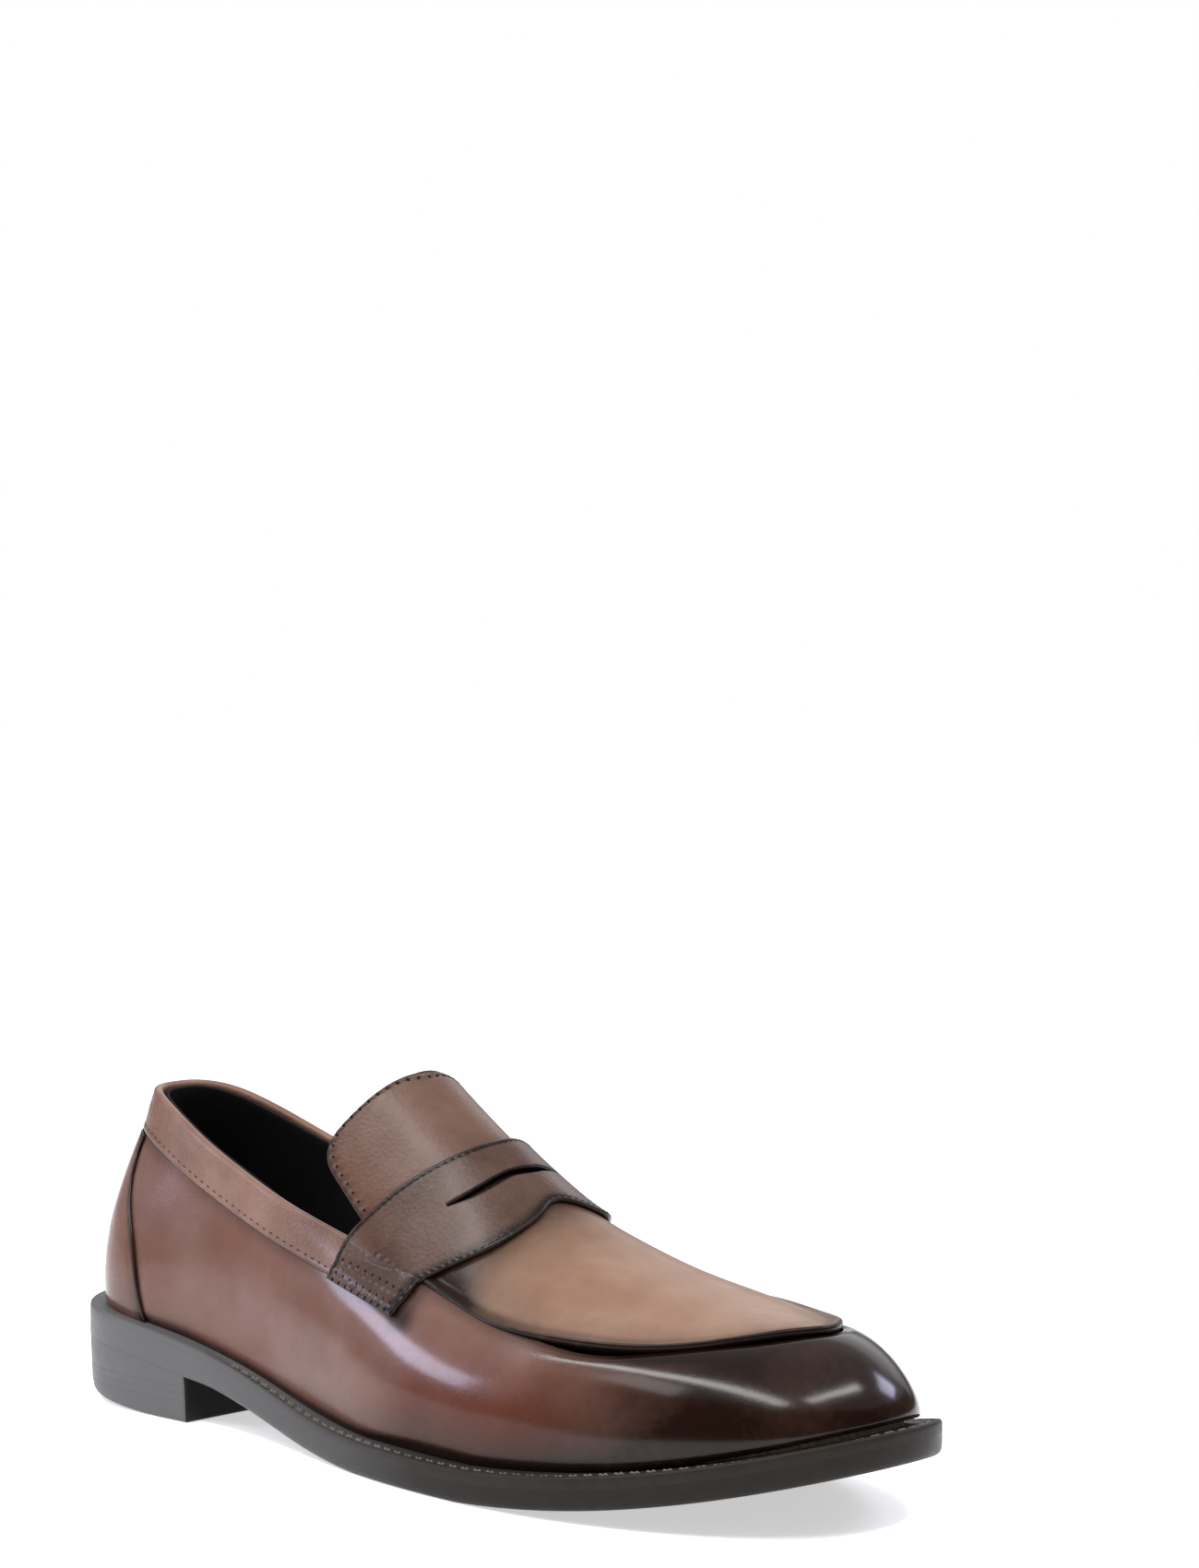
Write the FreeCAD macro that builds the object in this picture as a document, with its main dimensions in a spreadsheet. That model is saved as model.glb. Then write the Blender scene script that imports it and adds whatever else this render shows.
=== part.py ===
import FreeCAD, Part
import math
import os

# A right-foot penny loafer, built in layers on the shape of its last.
# Shape functions work in last coordinates, in mm: x runs from the back of the heel to the
# toe, y is positive on the medial side and z is the height above the ground.
# place() moves a point to the part's frame, whose origin is the centre of the footprint.

doc = FreeCAD.newDocument("penny_loafer")
sheet = doc.addObject("Spreadsheet::Sheet", "Dimensions")

DIMENSIONS = [
    ("shoe_length", 300.0, "outsole, heel back to toe tip"),
    ("block_width", 130.0, "width of the stock that a sole layer is cut from"),
    ("outsole_thickness", 5.8, ""),
    ("welt_thickness", 3.5, ""),
    ("welt_width", 15.0, "from the rim inwards"),
    ("channel_depth", 1.0, "stitching channel in the welt"),
    ("feather_height", 9.4, "foot of the upper above the outsole's underside"),
    ("insole_thickness", 2.3, ""),
    ("pad_thickness", 3.0, "foam under the heel"),
    ("sock_thickness", 1.3, ""),
    ("heel_length", 63.0, "heel back to heel breast"),
    ("top_piece_thickness", 6.4, "rubber top piece"),
    ("heel_roll_length", 52.0, "back part of the top piece, which rises off the ground"),
    ("heel_roll_height", 5.4, "how far it rises at the very back"),
    ("lift_thickness", 2.2, "one leather lift"),
    ("shank_width", 14.0, ""),
    ("shank_thickness", 1.2, ""),
    ("nail_diameter", 2.0, ""),
    ("nail_length", 14.0, ""),
    ("upper_thickness", 1.6, "vamp, apron and tongue leather"),
    ("collar_thickness", 1.2, ""),
    ("collar_width", 13.5, ""),
    ("backstay_thickness", 1.0, ""),
    ("strap_thickness", 1.7, ""),
    ("stiffener_thickness", 0.8, "heel counter and toe puff"),
    ("lining_thickness", 1.0, ""),
    ("layer_gap", 0.06, "glue line between two layers"),
    ("thread_diameter", 0.8, ""),
    ("welt_pitch", 4.6, "length of one welt stitch and the space after it"),
    ("upper_pitch", 3.2, "the same for the rows on the upper"),
]
for row, (alias, number, note) in enumerate(DIMENSIONS, start=1):
    sheet.set("A%d" % row, alias)
    sheet.set("B%d" % row, str(number))
    sheet.set("C%d" % row, note)
    sheet.setAlias("B%d" % row, alias)
doc.recompute()


def size(alias):
    """A driving dimension, read back from the sheet."""
    return float(sheet.get(alias))


LENGTH = size("shoe_length")
GAP = size("layer_gap")
UPPER = size("upper_thickness")
STIFFENER = size("stiffener_thickness")
LINING = size("lining_thickness")
OUTSOLE = size("outsole_thickness")
SIDE = OUTSOLE + size("welt_thickness")
HEEL = size("heel_length")
HEEL_ROLL = size("heel_roll_length")


# ---------------------------------------------------------------- curves

def solve(matrix, right):
    """Solve a small linear system by elimination with pivoting."""
    n = len(right)
    rows = [list(matrix[i]) + [right[i]] for i in range(n)]
    for i in range(n):
        pivot = max(range(i, n), key=lambda r: abs(rows[r][i]))
        rows[i], rows[pivot] = rows[pivot], rows[i]
        for r in range(i + 1, n):
            factor = rows[r][i] / rows[i][i]
            if factor:
                rows[r] = [a - factor * b for a, b in zip(rows[r], rows[i])]
    answer = [0.0] * n
    for i in reversed(range(n)):
        known = sum(rows[i][j] * answer[j] for j in range(i + 1, n))
        answer[i] = (rows[i][n] - known) / rows[i][i]
    return answer


def spread(points):
    """Parameters from 0 to 1 for the points, by the square root of their distance."""
    knots = [0.0]
    for a, b in zip(points, points[1:]):
        knots.append(knots[-1] + math.dist(a, b) ** 0.5)
    return [k / knots[-1] for k in knots]


def bends(knots, slopes, closed):
    """Second derivatives of a cubic spline at its points."""
    n = len(slopes)
    h = [b - a for a, b in zip(knots, knots[1:])]
    count = n if closed else n + 1
    matrix = [[0.0] * count for _ in range(count)]
    right = [0.0] * count
    for i in range(0 if closed else 1, n):
        matrix[i][(i - 1) % count] += h[i - 1]
        matrix[i][i] += 2 * (h[i - 1] + h[i])
        matrix[i][(i + 1) % count] += h[i]
        right[i] = 6 * (slopes[i] - slopes[i - 1])
    if not closed:
        matrix[0][0] = matrix[n][n] = 1.0
    answer = solve(matrix, right)
    return answer + answer[:1] if closed else answer


def smooth_curve(points, closed=False, knots=None):
    """Cubic spline through the points, as a function of t from 0 to 1."""
    points = [tuple(p) for p in points]
    if closed:
        points.append(points[0])
    knots = knots or spread(points)
    h = [b - a for a, b in zip(knots, knots[1:])]
    parts = []
    for values in zip(*points):
        slopes = [(b - a) / w for a, b, w in zip(values, values[1:], h)]
        parts.append((values, bends(knots, slopes, closed)))

    def value(t):
        if closed:
            t = t % 1.0
        i = 0
        while i < len(h) - 1 and t > knots[i + 1]:
            i += 1
        a, b, w = knots[i + 1] - t, t - knots[i], h[i]
        out = []
        for y, m in parts:
            curved = (m[i] * a ** 3 + m[i + 1] * b ** 3) / (6 * w)
            out.append(curved + (y[i] / w - m[i] * w / 6) * a + (y[i + 1] / w - m[i + 1] * w / 6) * b)
        return tuple(out)

    value.knots = knots
    return value


def graph(*stations):
    """Smooth function of one number through (x, value) stations, straight beyond the ends."""
    first, last = stations[0][0], stations[-1][0]
    span = last - first
    curve = smooth_curve([(v,) for _, v in stations], knots=[(x - first) / span for x, _ in stations])
    step = 1e-4
    start_slope = (curve(step)[0] - curve(0)[0]) / step
    end_slope = (curve(1)[0] - curve(1 - step)[0]) / step

    def value(x):
        t = (x - first) / span
        if t < 0:
            return curve(0)[0] + start_slope * t
        if t > 1:
            return curve(1)[0] + end_slope * (t - 1)
        return curve(t)[0]

    return value


def ramp(x, start, end):
    """0 before start, 1 after end, smooth between."""
    t = min(1.0, max(0.0, (x - start) / (end - start)))
    return t * t * (3 - 2 * t)


# ---------------------------------------------------------------- the last

# Underside of the outsole above the ground: heel seat, waist, tread and toe spring.
sole_line = graph((0, 20.2), (30, 18.1), (60, 14.3), (85, 9.5), (115, 2.8), (145, 0),
                  (190, 0), (240, 5), (275, 12), (300, 18.5))
# The instep line, from the toe end of the apron up to the top of the tongue: height,
# side position of the crest, and how fast the surface falls away to the sides.
spine_z = graph((128, 104.3), (145, 92.3), (160, 82), (175, 72.5), (190, 65.5), (210, 58.8),
                (230, 54), (250, 50.5), (270, 48))
crest_y = graph((128, 3.5), (185, 4.5), (270, 5.5))
crown = graph((128, .030), (150, .029), (165, .0265), (180, .0188), (191, .0145), (212, .0096),
              (235, .0071), (255, .0071), (270, .008))
# Width of the ledge from the rim to the foot of the upper.
ledge = graph((0, 5.5), (60, 5.4), (150, 6.0), (230, 6.2), (300, 5.6))


TREAD = (145, 190)                # where the sole lies flat on the ground


def sole_bottom(x):
    """Height of the outsole's underside."""
    return 0.0 if TREAD[0] < x < TREAD[1] else sole_line(x)


def instep(s, y, lift=0.0):
    """Point of the instep surface at station s and side position y, in sections square to
    the instep line."""
    slope = spine_z(s + 0.5) - spine_z(s - 0.5)
    norm = math.hypot(1, slope)
    drop = crown(s) * (y - crest_y(s)) ** 2 - lift
    return (s + slope / norm * drop, y, spine_z(s) - drop / norm)


# Ribs of the side wall: heel back, lateral side to the toe, medial side back to the heel.
# Outline x, y; top point x, y, z, or station and y on the instep where there is no z;
# rise (share of the height) and outward bulge (mm) of the wall low down; rise and outward
# run (share of the width) high up.
RIBS = [
    ((0, 1), (19, 1.5, 93.5), .36, 3.5, .74, .30),
    ((6.5, -21), (21.5, -7.5, 93.2), .36, 3.5, .74, .30),
    ((24, -32.5), (33, -15.5, 91), .36, 3.5, .72, .36),
    ((60, -34.5), (62, -23, 80.5), .36, 3.5, .70, .45),
    ((105, -38), (102, -27, 67), .38, 3.5, .72, .55),
    ((150, -48), (167, -28.5), .42, 4.0, .84, .72),
    ((200, -52.5), (212, -35.5), .42, 4.0, .87, .76),
    ((245, -46.5), (239, -30), .36, 3.0, .90, .70),
    ((278, -32), (258.5, -15), .32, 2.0, .91, .62),
    ((295, -14), (267.5, -2), .30, 1.0, .90, .58),
    ((300, 4), (270, 6), .30, 1.0, .90, .58),
    ((296, 21), (268, 14), .30, 1.0, .90, .58),
    ((279, 37), (259, 26), .32, 2.0, .91, .62),
    ((245, 49), (239, 36.5), .36, 3.0, .90, .70),
    ((200, 51.8), (212, 41), .42, 3.0, .87, .76),
    ((150, 38.5), (167, 35.5), .42, 3.5, .84, .72),
    ((105, 30), (102, 30, 67), .38, 3.5, .72, .55),
    ((60, 34.5), (62, 25, 78.5), .36, 3.5, .70, .45),
    ((24, 34), (33, 17.5, 90.2), .36, 3.5, .72, .36),
    ((6.5, 23), (21.5, 10, 93.2), .36, 3.5, .74, .30),
]
outline = smooth_curve([rib[0] for rib in RIBS], closed=True)


def inset_outline(t, inset):
    """Point of the sole's outline moved inwards."""
    before, after = outline(t - 1e-4), outline(t + 1e-4)
    dx, dy = after[0] - before[0], after[1] - before[1]
    run = math.hypot(dx, dy)
    x, y = outline(t)
    return (x - dy / run * inset, y + dx / run * inset)


def feather(t):
    """Foot of the upper, where it meets the welt."""
    x = outline(t)[0]
    return inset_outline(t, ledge(x)) + (sole_bottom(x) + size("feather_height"),)


def rib_points(rib, t):
    """The four Bezier points of the wall at a rib."""
    _, top, rise_low, out_low, rise_high, out_high = rib
    foot = feather(t)
    top = top if len(top) == 3 else instep(*top)
    run = math.hypot(top[0] - foot[0], top[1] - foot[1])
    ex, ey = (foot[0] - top[0]) / run, (foot[1] - top[1]) / run
    height = top[2] - foot[2]
    low = (foot[0] + ex * out_low, foot[1] + ey * out_low, foot[2] + rise_low * height)
    far = out_high * run
    high = (top[0] + ex * far, top[1] + ey * far, foot[2] + rise_high * height)
    return low, high, top


rib_table = [rib_points(rib, t) for rib, t in zip(RIBS, outline.knots)]
low_points, high_points, top_points = zip(*rib_table)
low_curve = smooth_curve(low_points, True, outline.knots)
high_curve = smooth_curve(high_points, True, outline.knots)
wall_top = smooth_curve(top_points, True, outline.knots)


def wall(t, v):
    """Point of the side wall: t goes round from the heel back, v rises from 0 to 1."""
    w = 1 - v
    weights = (w ** 3, 3 * v * w * w, 3 * v * v * w, v ** 3)
    corners = (feather(t), low_curve(t), high_curve(t), wall_top(t))
    return tuple(sum(k * p[i] for k, p in zip(weights, corners)) for i in range(3))


# The seam between apron and vamp, as stations and side positions on the instep.
SEAM = [(171, -29), (181, -32), (192, -34.5), (212, -35.5), (234, -32), (253, -21), (265, -5),
        (270, 6), (266, 17), (255, 29), (237, 37), (214, 41), (192, 41), (181, 39), (171, 36)]
seam = smooth_curve(SEAM)
SEAM_TIP = seam.knots[7]


def halve(low, high, test):
    """The number between low and high where test turns from true to false."""
    for _ in range(30):
        middle = (low + high) / 2
        if test(middle):
            low = middle
        else:
            high = middle
    return (low + high) / 2


def seam_side(s, side):
    """Side position of the apron seam at a station; side is -1 lateral, 1 medial."""
    if side < 0:
        return seam(halve(0, SEAM_TIP, lambda t: seam(t)[0] < s))[1]
    return seam(halve(SEAM_TIP, 1, lambda t: seam(t)[0] > s))[1]


# ---------------------------------------------------------------- solids from surfaces

def place(point):
    """From last coordinates to the part's frame."""
    return FreeCAD.Vector(point[0] - LENGTH / 2, point[1], point[2])


def stand_off(surface, a, b, distance):
    """Point at a distance along the surface's outward normal."""
    step = 1e-3
    p = FreeCAD.Vector(*surface(a, b))
    along = FreeCAD.Vector(*surface(a + step, b)) - FreeCAD.Vector(*surface(a - step, b))
    across = FreeCAD.Vector(*surface(a, b + step)) - FreeCAD.Vector(*surface(a, b - step))
    normal = along.cross(across)
    return tuple(p + normal.normalize() * distance)


def strip(edge_a, edge_b):
    """Narrow ruled face between two edges, whichever way round does not twist."""
    turned = edge_b.copy()
    turned.reverse()
    choices = [Part.makeRuledSurface(edge_a, edge_b), Part.makeRuledSurface(edge_a, turned)]
    return min(choices, key=lambda face: face.Area)


def sheet_solid(surface, rows, columns, outer, inner):
    """Closed solid between two stand-offs of a surface, over rows x columns shares 0 to 1.
    outer and inner are functions of the row and column shares."""
    def face(depth):
        grid = []
        for i in range(rows + 1):
            line = []
            for j in range(columns + 1):
                a, b = i / rows, j / columns
                line.append(place(stand_off(surface, a, b, depth(a, b))))
            grid.append(line)
        skin = Part.BSplineSurface()
        skin.interpolate(grid)
        return skin

    top, bottom = face(outer), face(inner)
    faces = [top.toShape(), bottom.toShape()]
    u0, u1, v0, v1 = top.bounds()
    p0, p1, q0, q1 = bottom.bounds()
    borders = [(top.uIso(u0), bottom.uIso(p0)), (top.uIso(u1), bottom.uIso(p1)),
               (top.vIso(v0), bottom.vIso(q0)), (top.vIso(v1), bottom.vIso(q1))]
    for upper, lower in borders:
        faces.append(strip(upper.toShape(), lower.toShape()))
    shell = Part.makeCompound(faces)
    shell.sewShape()
    solid = Part.makeSolid(shell.Shells[0])
    if solid.Volume < 0:
        solid.reverse()
    return solid


def constant(value):
    return lambda a, b: value


nodes = []


def keep(label, thing):
    """Count an object as a sub-part, with its label."""
    thing.Label = label
    nodes.append(thing)
    return thing


def feature(label, shape):
    """A sub-part whose shape is set by Part's own functions."""
    thing = doc.addObject("Part::Feature", label + "_shape")
    thing.Shape = shape
    thing.Placement = FreeCAD.Placement()
    return keep(label, thing)


# ---------------------------------------------------------------- sole layers

def plane(body, role):
    """One of a body's own origin planes."""
    return next(f for f in body.Origin.OriginFeatures if f.Role == role)


def sketch_on(body, role, name):
    sketch = body.newObject("Sketcher::SketchObject", name)
    sketch.AttachmentSupport = [(plane(body, role), "")]
    sketch.MapMode = "FlatFace"
    return sketch


def side_view(x, z):
    """Sketch position of a point in the side view."""
    return FreeCAD.Vector(x - LENGTH / 2, z, 0)


def profile_edge(height, start, end):
    """Edge of a side profile: a line where it is level, a spline elsewhere."""
    count = max(2, round((end - start) / 12))
    points = []
    for i in range(count + 1):
        x = start + (end - start) * i / count
        points.append(side_view(x, height(x)))
    if all(abs(point.y - points[0].y) < 1e-6 for point in points):
        return Part.LineSegment(points[0], points[-1])
    curve = Part.BSplineCurve()
    curve.interpolate(points)
    return curve


def outline_curve(inset, count=48):
    """Closed curve of the sole's outline, moved in by inset(x)."""
    points = []
    for i in range(count):
        x, y = inset_outline(i / count, inset(outline(i / count)[0]))
        points.append(FreeCAD.Vector(x - LENGTH / 2, y, 0))
    curve = Part.BSplineCurve()
    curve.interpolate(Points=points, PeriodicFlag=True)
    return curve


def layer(label, lower, upper, inset, start=-2.0, end=LENGTH + 2.0, inner=None, width="block_width"):
    """A sole layer: side profile padded across the stock, then cut back to its outline,
    and hollowed by an inner outline where there is one."""
    body = doc.addObject("PartDesign::Body", label + "_body")
    profile = sketch_on(body, "XZ_Plane", label + "_profile")
    stops = [start] + [x for x in (HEEL_ROLL,) + TREAD if start < x < end] + [end]
    for height in (lower, upper):
        for a, b in zip(stops, stops[1:]):
            profile.addGeometry(profile_edge(height, a, b), False)
    for x in (start, end):
        profile.addGeometry(Part.LineSegment(side_view(x, lower(x)), side_view(x, upper(x))), False)
    pad = body.newObject("PartDesign::Pad", label + "_pad")
    pad.Profile = profile
    pad.Midplane = True
    pad.setExpression("Length", "Dimensions." + width)
    if inset:
        trim(body, label + "_outline", inset, outside=True)
    if inner:
        trim(body, label + "_hollow", inner, outside=False)
    return body


def cut(base, tool, label):
    """Boolean cut of two objects of the document."""
    thing = doc.addObject("Part::Cut", label)
    thing.Base = base
    thing.Tool = tool
    return thing


def trim(body, name, inset, outside):
    """Cut away what lies outside, or inside, of an outline."""
    sketch = sketch_on(body, "XY_Plane", name)
    sketch.addGeometry(outline_curve(inset), False)
    if outside:
        a, b = LENGTH, LENGTH / 2
        corners = [FreeCAD.Vector(x, y, 0) for x, y in ((-a, -b), (a, -b), (a, b), (-a, b))]
        for p, q in zip(corners, corners[1:] + corners[:1]):
            sketch.addGeometry(Part.LineSegment(p, q), False)
    pocket = body.newObject("PartDesign::Pocket", name + "_cut")
    pocket.Profile = sketch
    pocket.Type = "ThroughAll"
    pocket.Reversed = True


def above_sole(height):
    return lambda x: sole_bottom(x) + height


def flat(height):
    return lambda x: height


INSOLE_TOP = SIDE + size("insole_thickness")
WELT_INNER = size("welt_width")


def pad_height(x):
    return GAP + size("pad_thickness") * (1 - ramp(x, 85, 115))


def heel_taper(height):
    """The heel block draws in a little towards the ground."""
    return flat(0.1 + 0.9 * (1 - height / 16))


# ---------------------------------------------------------------- heel and bottom

TOP_PIECE = size("top_piece_thickness")
LIFT = size("lift_thickness")


def heel_nails():
    """Nails driven down through the heel seat into the lifts."""
    nails = []
    for i in range(7):
        t = -0.12 + 0.24 * i / 6
        x, y = inset_outline(t, 15)
        nail = doc.addObject("Part::Cylinder", "nail_%d" % i)
        nail.setExpression("Radius", "Dimensions.nail_diameter / 2")
        nail.setExpression("Height", "Dimensions.nail_length")
        nail.Placement.Base = place((x, y, sole_bottom(x) + INSOLE_TOP - 0.5 - size("nail_length")))
        nails.append(nail)
    group = doc.addObject("Part::Compound", "nails")
    group.Links = nails
    return keep("heel_nails", group)


def heel_underside(x):
    """Level, but rising a little at the back."""
    return size("heel_roll_height") * max(0.0, 1 - x / HEEL_ROLL) ** 2


def heel_layer(label, low, high):
    """A level layer of the heel block."""
    underside = flat(low) if low else heel_underside
    return layer(label, underside, flat(high), heel_taper((low + high) / 2), end=HEEL)


LIFT_1 = TOP_PIECE + LIFT
LIFT_2 = LIFT_1 + LIFT
nails = heel_nails()
keep("heel_top_piece", heel_layer("top_piece", 0, TOP_PIECE))
keep("heel_lift_1", heel_layer("lift_1", TOP_PIECE, LIFT_1))
keep("heel_lift_2", cut(heel_layer("lift_2", LIFT_1, LIFT_2), nails, "lift_2_nailed"))
seat = layer("seat_lift", flat(LIFT_2), above_sole(0), heel_taper(14), end=HEEL)
keep("heel_seat_lift", cut(seat, nails, "seat_lift_nailed"))

sole = layer("sole", above_sole(0), above_sole(OUTSOLE), flat(0))
keep("outsole", cut(sole, nails, "sole_nailed"))

ring = layer("ring", above_sole(OUTSOLE), above_sole(SIDE), flat(0.3), inner=flat(WELT_INNER))
channel = layer("channel", above_sole(SIDE - size("channel_depth")), above_sole(SIDE + 2),
                flat(2.2), inner=flat(4.4))
keep("welt", cut(ring, channel, "ring_channelled"))

shank_strip = layer("shank_strip", above_sole(SIDE - size("shank_thickness") - GAP), above_sole(SIDE - GAP),
                    None, start=70, end=138, width="shank_width")
shank = keep("shank", shank_strip)
cork = layer("cork", above_sole(OUTSOLE), above_sole(SIDE), flat(WELT_INNER + GAP))
cork_bedded = cut(cork, shank, "cork_bedded")
keep("cork_filler", cut(cork_bedded, nails, "cork_nailed"))

INSIDE = 4.4                      # from the foot of the upper to what lies inside it


def inside(x):
    """Inset of what lies inside the upper."""
    return ledge(x) + INSIDE


board = layer("board", above_sole(SIDE), above_sole(INSOLE_TOP), inside)
keep("insole_board", cut(board, nails, "board_nailed"))


def sock_bottom(x):
    return sole_bottom(x) + INSOLE_TOP + pad_height(x)


keep("heel_pad", layer("pad", above_sole(INSOLE_TOP), lambda x: sock_bottom(x) - GAP,
                       lambda x: inside(x) + 1, end=108))
keep("sock_liner", layer("sock", sock_bottom, lambda x: sock_bottom(x) + size("sock_thickness"), inside))


# ---------------------------------------------------------------- upper

def wall_lengths(t):
    """Distance up the wall's surface at evenly spaced v."""
    steps = 24
    points = [wall(t, i / steps) for i in range(steps + 1)]
    lengths = [0.0]
    for a, b in zip(points, points[1:]):
        lengths.append(lengths[-1] + math.dist(a, b))
    return lengths


def below_top(t, distance):
    """The v that lies a distance down the wall from its top edge."""
    lengths = wall_lengths(t)
    goal = max(0.0, lengths[-1] - distance)
    i = max(k for k, value in enumerate(lengths[:-1]) if value <= goal)
    part = (goal - lengths[i]) / (lengths[i + 1] - lengths[i])
    return (i + part) / (len(lengths) - 1)


def station(curve, x, side):
    """The t where a closed curve round the shoe passes x; side is 1 lateral, -1 medial."""
    return side * halve(0.02, 0.47, lambda t: curve(side * t)[0] < x)


def band(start, end, low, high, steps=40):
    """Surface of the wall from t = start to end, between two heights given as functions
    of t: shares 0 to 1 each way."""
    span = end - start
    ts = [start + span * i / steps for i in range(steps + 1)]
    edges = smooth_curve([(low(t), high(t)) for t in ts], knots=[i / steps for i in range(steps + 1)])

    def surface(a, b):
        v0, v1 = edges(a)
        return wall(start + span * a, v0 + (v1 - v0) * b)

    return surface


COLLAR = size("collar_thickness")
COLLAR_WIDTH = size("collar_width")
COLLAR_LAP = 5.0                  # how far the collar band covers the vamp
COLLAR_END = 134                  # x where the band ends, under the strap
lateral_end, medial_end = station(wall_top, COLLAR_END, 1), station(wall_top, COLLAR_END, -1)
SEAM_GAP = 0.003                  # half the back seam, as a share of the way round


def collar_foot(t):
    return below_top(t, COLLAR_WIDTH)


def vamp_top(t):
    """The vamp ends under the collar band at the back and at the apron seam in front."""
    x = wall_top(t)[0]
    return below_top(t, (COLLAR_WIDTH - COLLAR_LAP) * (1 - ramp(x, 118, COLLAR_END)))


def stiffened(t):
    """1 at the toe and the heel, where a stiffener lies under the vamp, 0 between."""
    x = outline(t)[0]
    return 1 - ramp(x, 84, 104) + ramp(x, 222, 240)


feature("vamp", sheet_solid(band(SEAM_GAP, 1 - SEAM_GAP, lambda t: 0.0, vamp_top), 84, 8,
                            constant(0.0), constant(-UPPER)))
feature("collar", sheet_solid(band(medial_end, lateral_end, collar_foot, lambda t: 1.0), 44, 4,
                              constant(COLLAR + GAP), constant(GAP)))


# Half width of the backstay, as a share of the way round, at heights up the wall.
backstay_half = graph((0.0, .106), (.2, .101), (.4, .090), (.6, .073), (.75, .069))


def backstay_surface(a, b):
    """Patch over the back seam, wider at its foot, up to the collar."""
    v = 0.01 + (collar_foot(0.0) - 0.02) * b
    return wall(backstay_half(v) * (2 * a - 1), v)


BACKSTAY = size("backstay_thickness")
feature("backstay", sheet_solid(backstay_surface, 16, 10, constant(BACKSTAY + GAP), constant(GAP)))

UNDER_VAMP = -UPPER - GAP


def stiffener(label, start, end, height, rows):
    """A stiffener against the inside of the vamp, up to a share of the wall's height."""
    surface = band(start, end, lambda t: 0.03, lambda t: height)
    faces = constant(UNDER_VAMP), constant(UNDER_VAMP - STIFFENER)
    feature(label, sheet_solid(surface, rows, 6, *faces))


stiffener("heel_counter", station(outline, 82, -1), station(outline, 82, 1), 0.66, 30)
stiffener("toe_puff", station(outline, 242, 1), 1 + station(outline, 242, -1), 0.95, 24)


def lining(label, start, end):
    """A lining against the inside of the vamp, or of a stiffener where there is one."""
    def outer(a, b):
        return UNDER_VAMP - (STIFFENER + GAP) * stiffened(start + (end - start) * a)

    surface = band(start, end, lambda t: 0.02, lambda t: 1.0)
    feature(label, sheet_solid(surface, 50, 7, outer, lambda a, b: outer(a, b) - LINING))


LINING_GAP = 0.002
lining_lateral, lining_medial = station(wall_top, 140, 1), station(wall_top, 140, -1)
lining("quarter_lining", lining_medial, lining_lateral)
lining("vamp_lining", lining_lateral + LINING_GAP, 1 + lining_medial - LINING_GAP)


def instep_patch(start, end, left, right):
    """Part of the instep between two stations and two sides given as functions of s."""
    def surface(a, b):
        s = start + (end - start) * a
        y0, y1 = left(s), right(s)
        return instep(s, y0 + (y1 - y0) * b)
    return surface


APRON_BACK, APRON_TIP = 171.5, 269.2
SEAM_INSET = 0.9                  # the apron stops short of the seam line
APRON_LIFT = 0.5                  # and stands proud of the vamp


def apron_left(s):
    return seam_side(s, -1) + SEAM_INSET


def apron_right(s):
    return seam_side(s, 1) - SEAM_INSET


def leather_and_lining(name, surface, rows, top):
    """A piece over the instep with its lining under it; top is its outer face."""
    inside_face = top - UPPER
    feature(name, sheet_solid(surface, rows, 12, constant(top), constant(inside_face)))
    feature(name + "_lining", sheet_solid(surface, rows, 12, constant(inside_face - GAP),
                                          constant(inside_face - GAP - LINING)))


leather_and_lining("apron", instep_patch(APRON_BACK, APRON_TIP, apron_left, apron_right), 26, APRON_LIFT)

TONGUE_TOP, TONGUE_FOOT = 125.5, 171.0
tongue_half = graph((125.5, 22), (127.5, 27.5), (131, 30), (140, 30.5), (155, 30), (171, 27))


def tongue_left(s):
    return crest_y(s) - tongue_half(s)


def tongue_right(s):
    return crest_y(s) + tongue_half(s)


leather_and_lining("tongue", instep_patch(TONGUE_TOP, TONGUE_FOOT, tongue_left, tongue_right), 14, 0.0)


# ---------------------------------------------------------------- strap

# The strap's rear and front edge, from its lateral end over the instep to its medial end:
# station and side position on the instep, or x and height on the side wall at its ends.
STRAP_END = [((121.5, 49), (152.7, 42.8)), ((124.3, 53), (154.8, 46.6)), ((125.2, 57.4), (156.2, 50.2))]
STRAP_TOP = [((148, -29), (171.2, -28.8)), ((148.7, -22), (176, -22.5)), ((150.5, -14), (179, -15)),
             ((152.3, -6), (178.6, -6)), ((153.2, 1), (176, 0.5)), ((153, 8), (177.5, 7.5)),
             ((151.8, 17), (180.5, 17)), ((150, 25), (178, 26)), ((148, 35), (171, 37))]
STRAP = size("strap_thickness")
STRAP_OVER_WALL = STRAP + 2 * GAP
STRAP_OVER_COLLAR = STRAP + COLLAR + 2 * GAP
STRAP_OVER_INSTEP = STRAP + APRON_LIFT + 2 * GAP


def wall_point(x, z, side, lift):
    """Point off the side wall at a given x and height."""
    t, v = side * 0.2, 0.7
    for _ in range(6):
        t = side * halve(0.05, 0.45, lambda t: wall(side * t, v)[0] < x)
        v = halve(0.1, 1.0, lambda v: wall(t, v)[2] < z)
    return stand_off(wall, t, v, lift)


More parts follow.
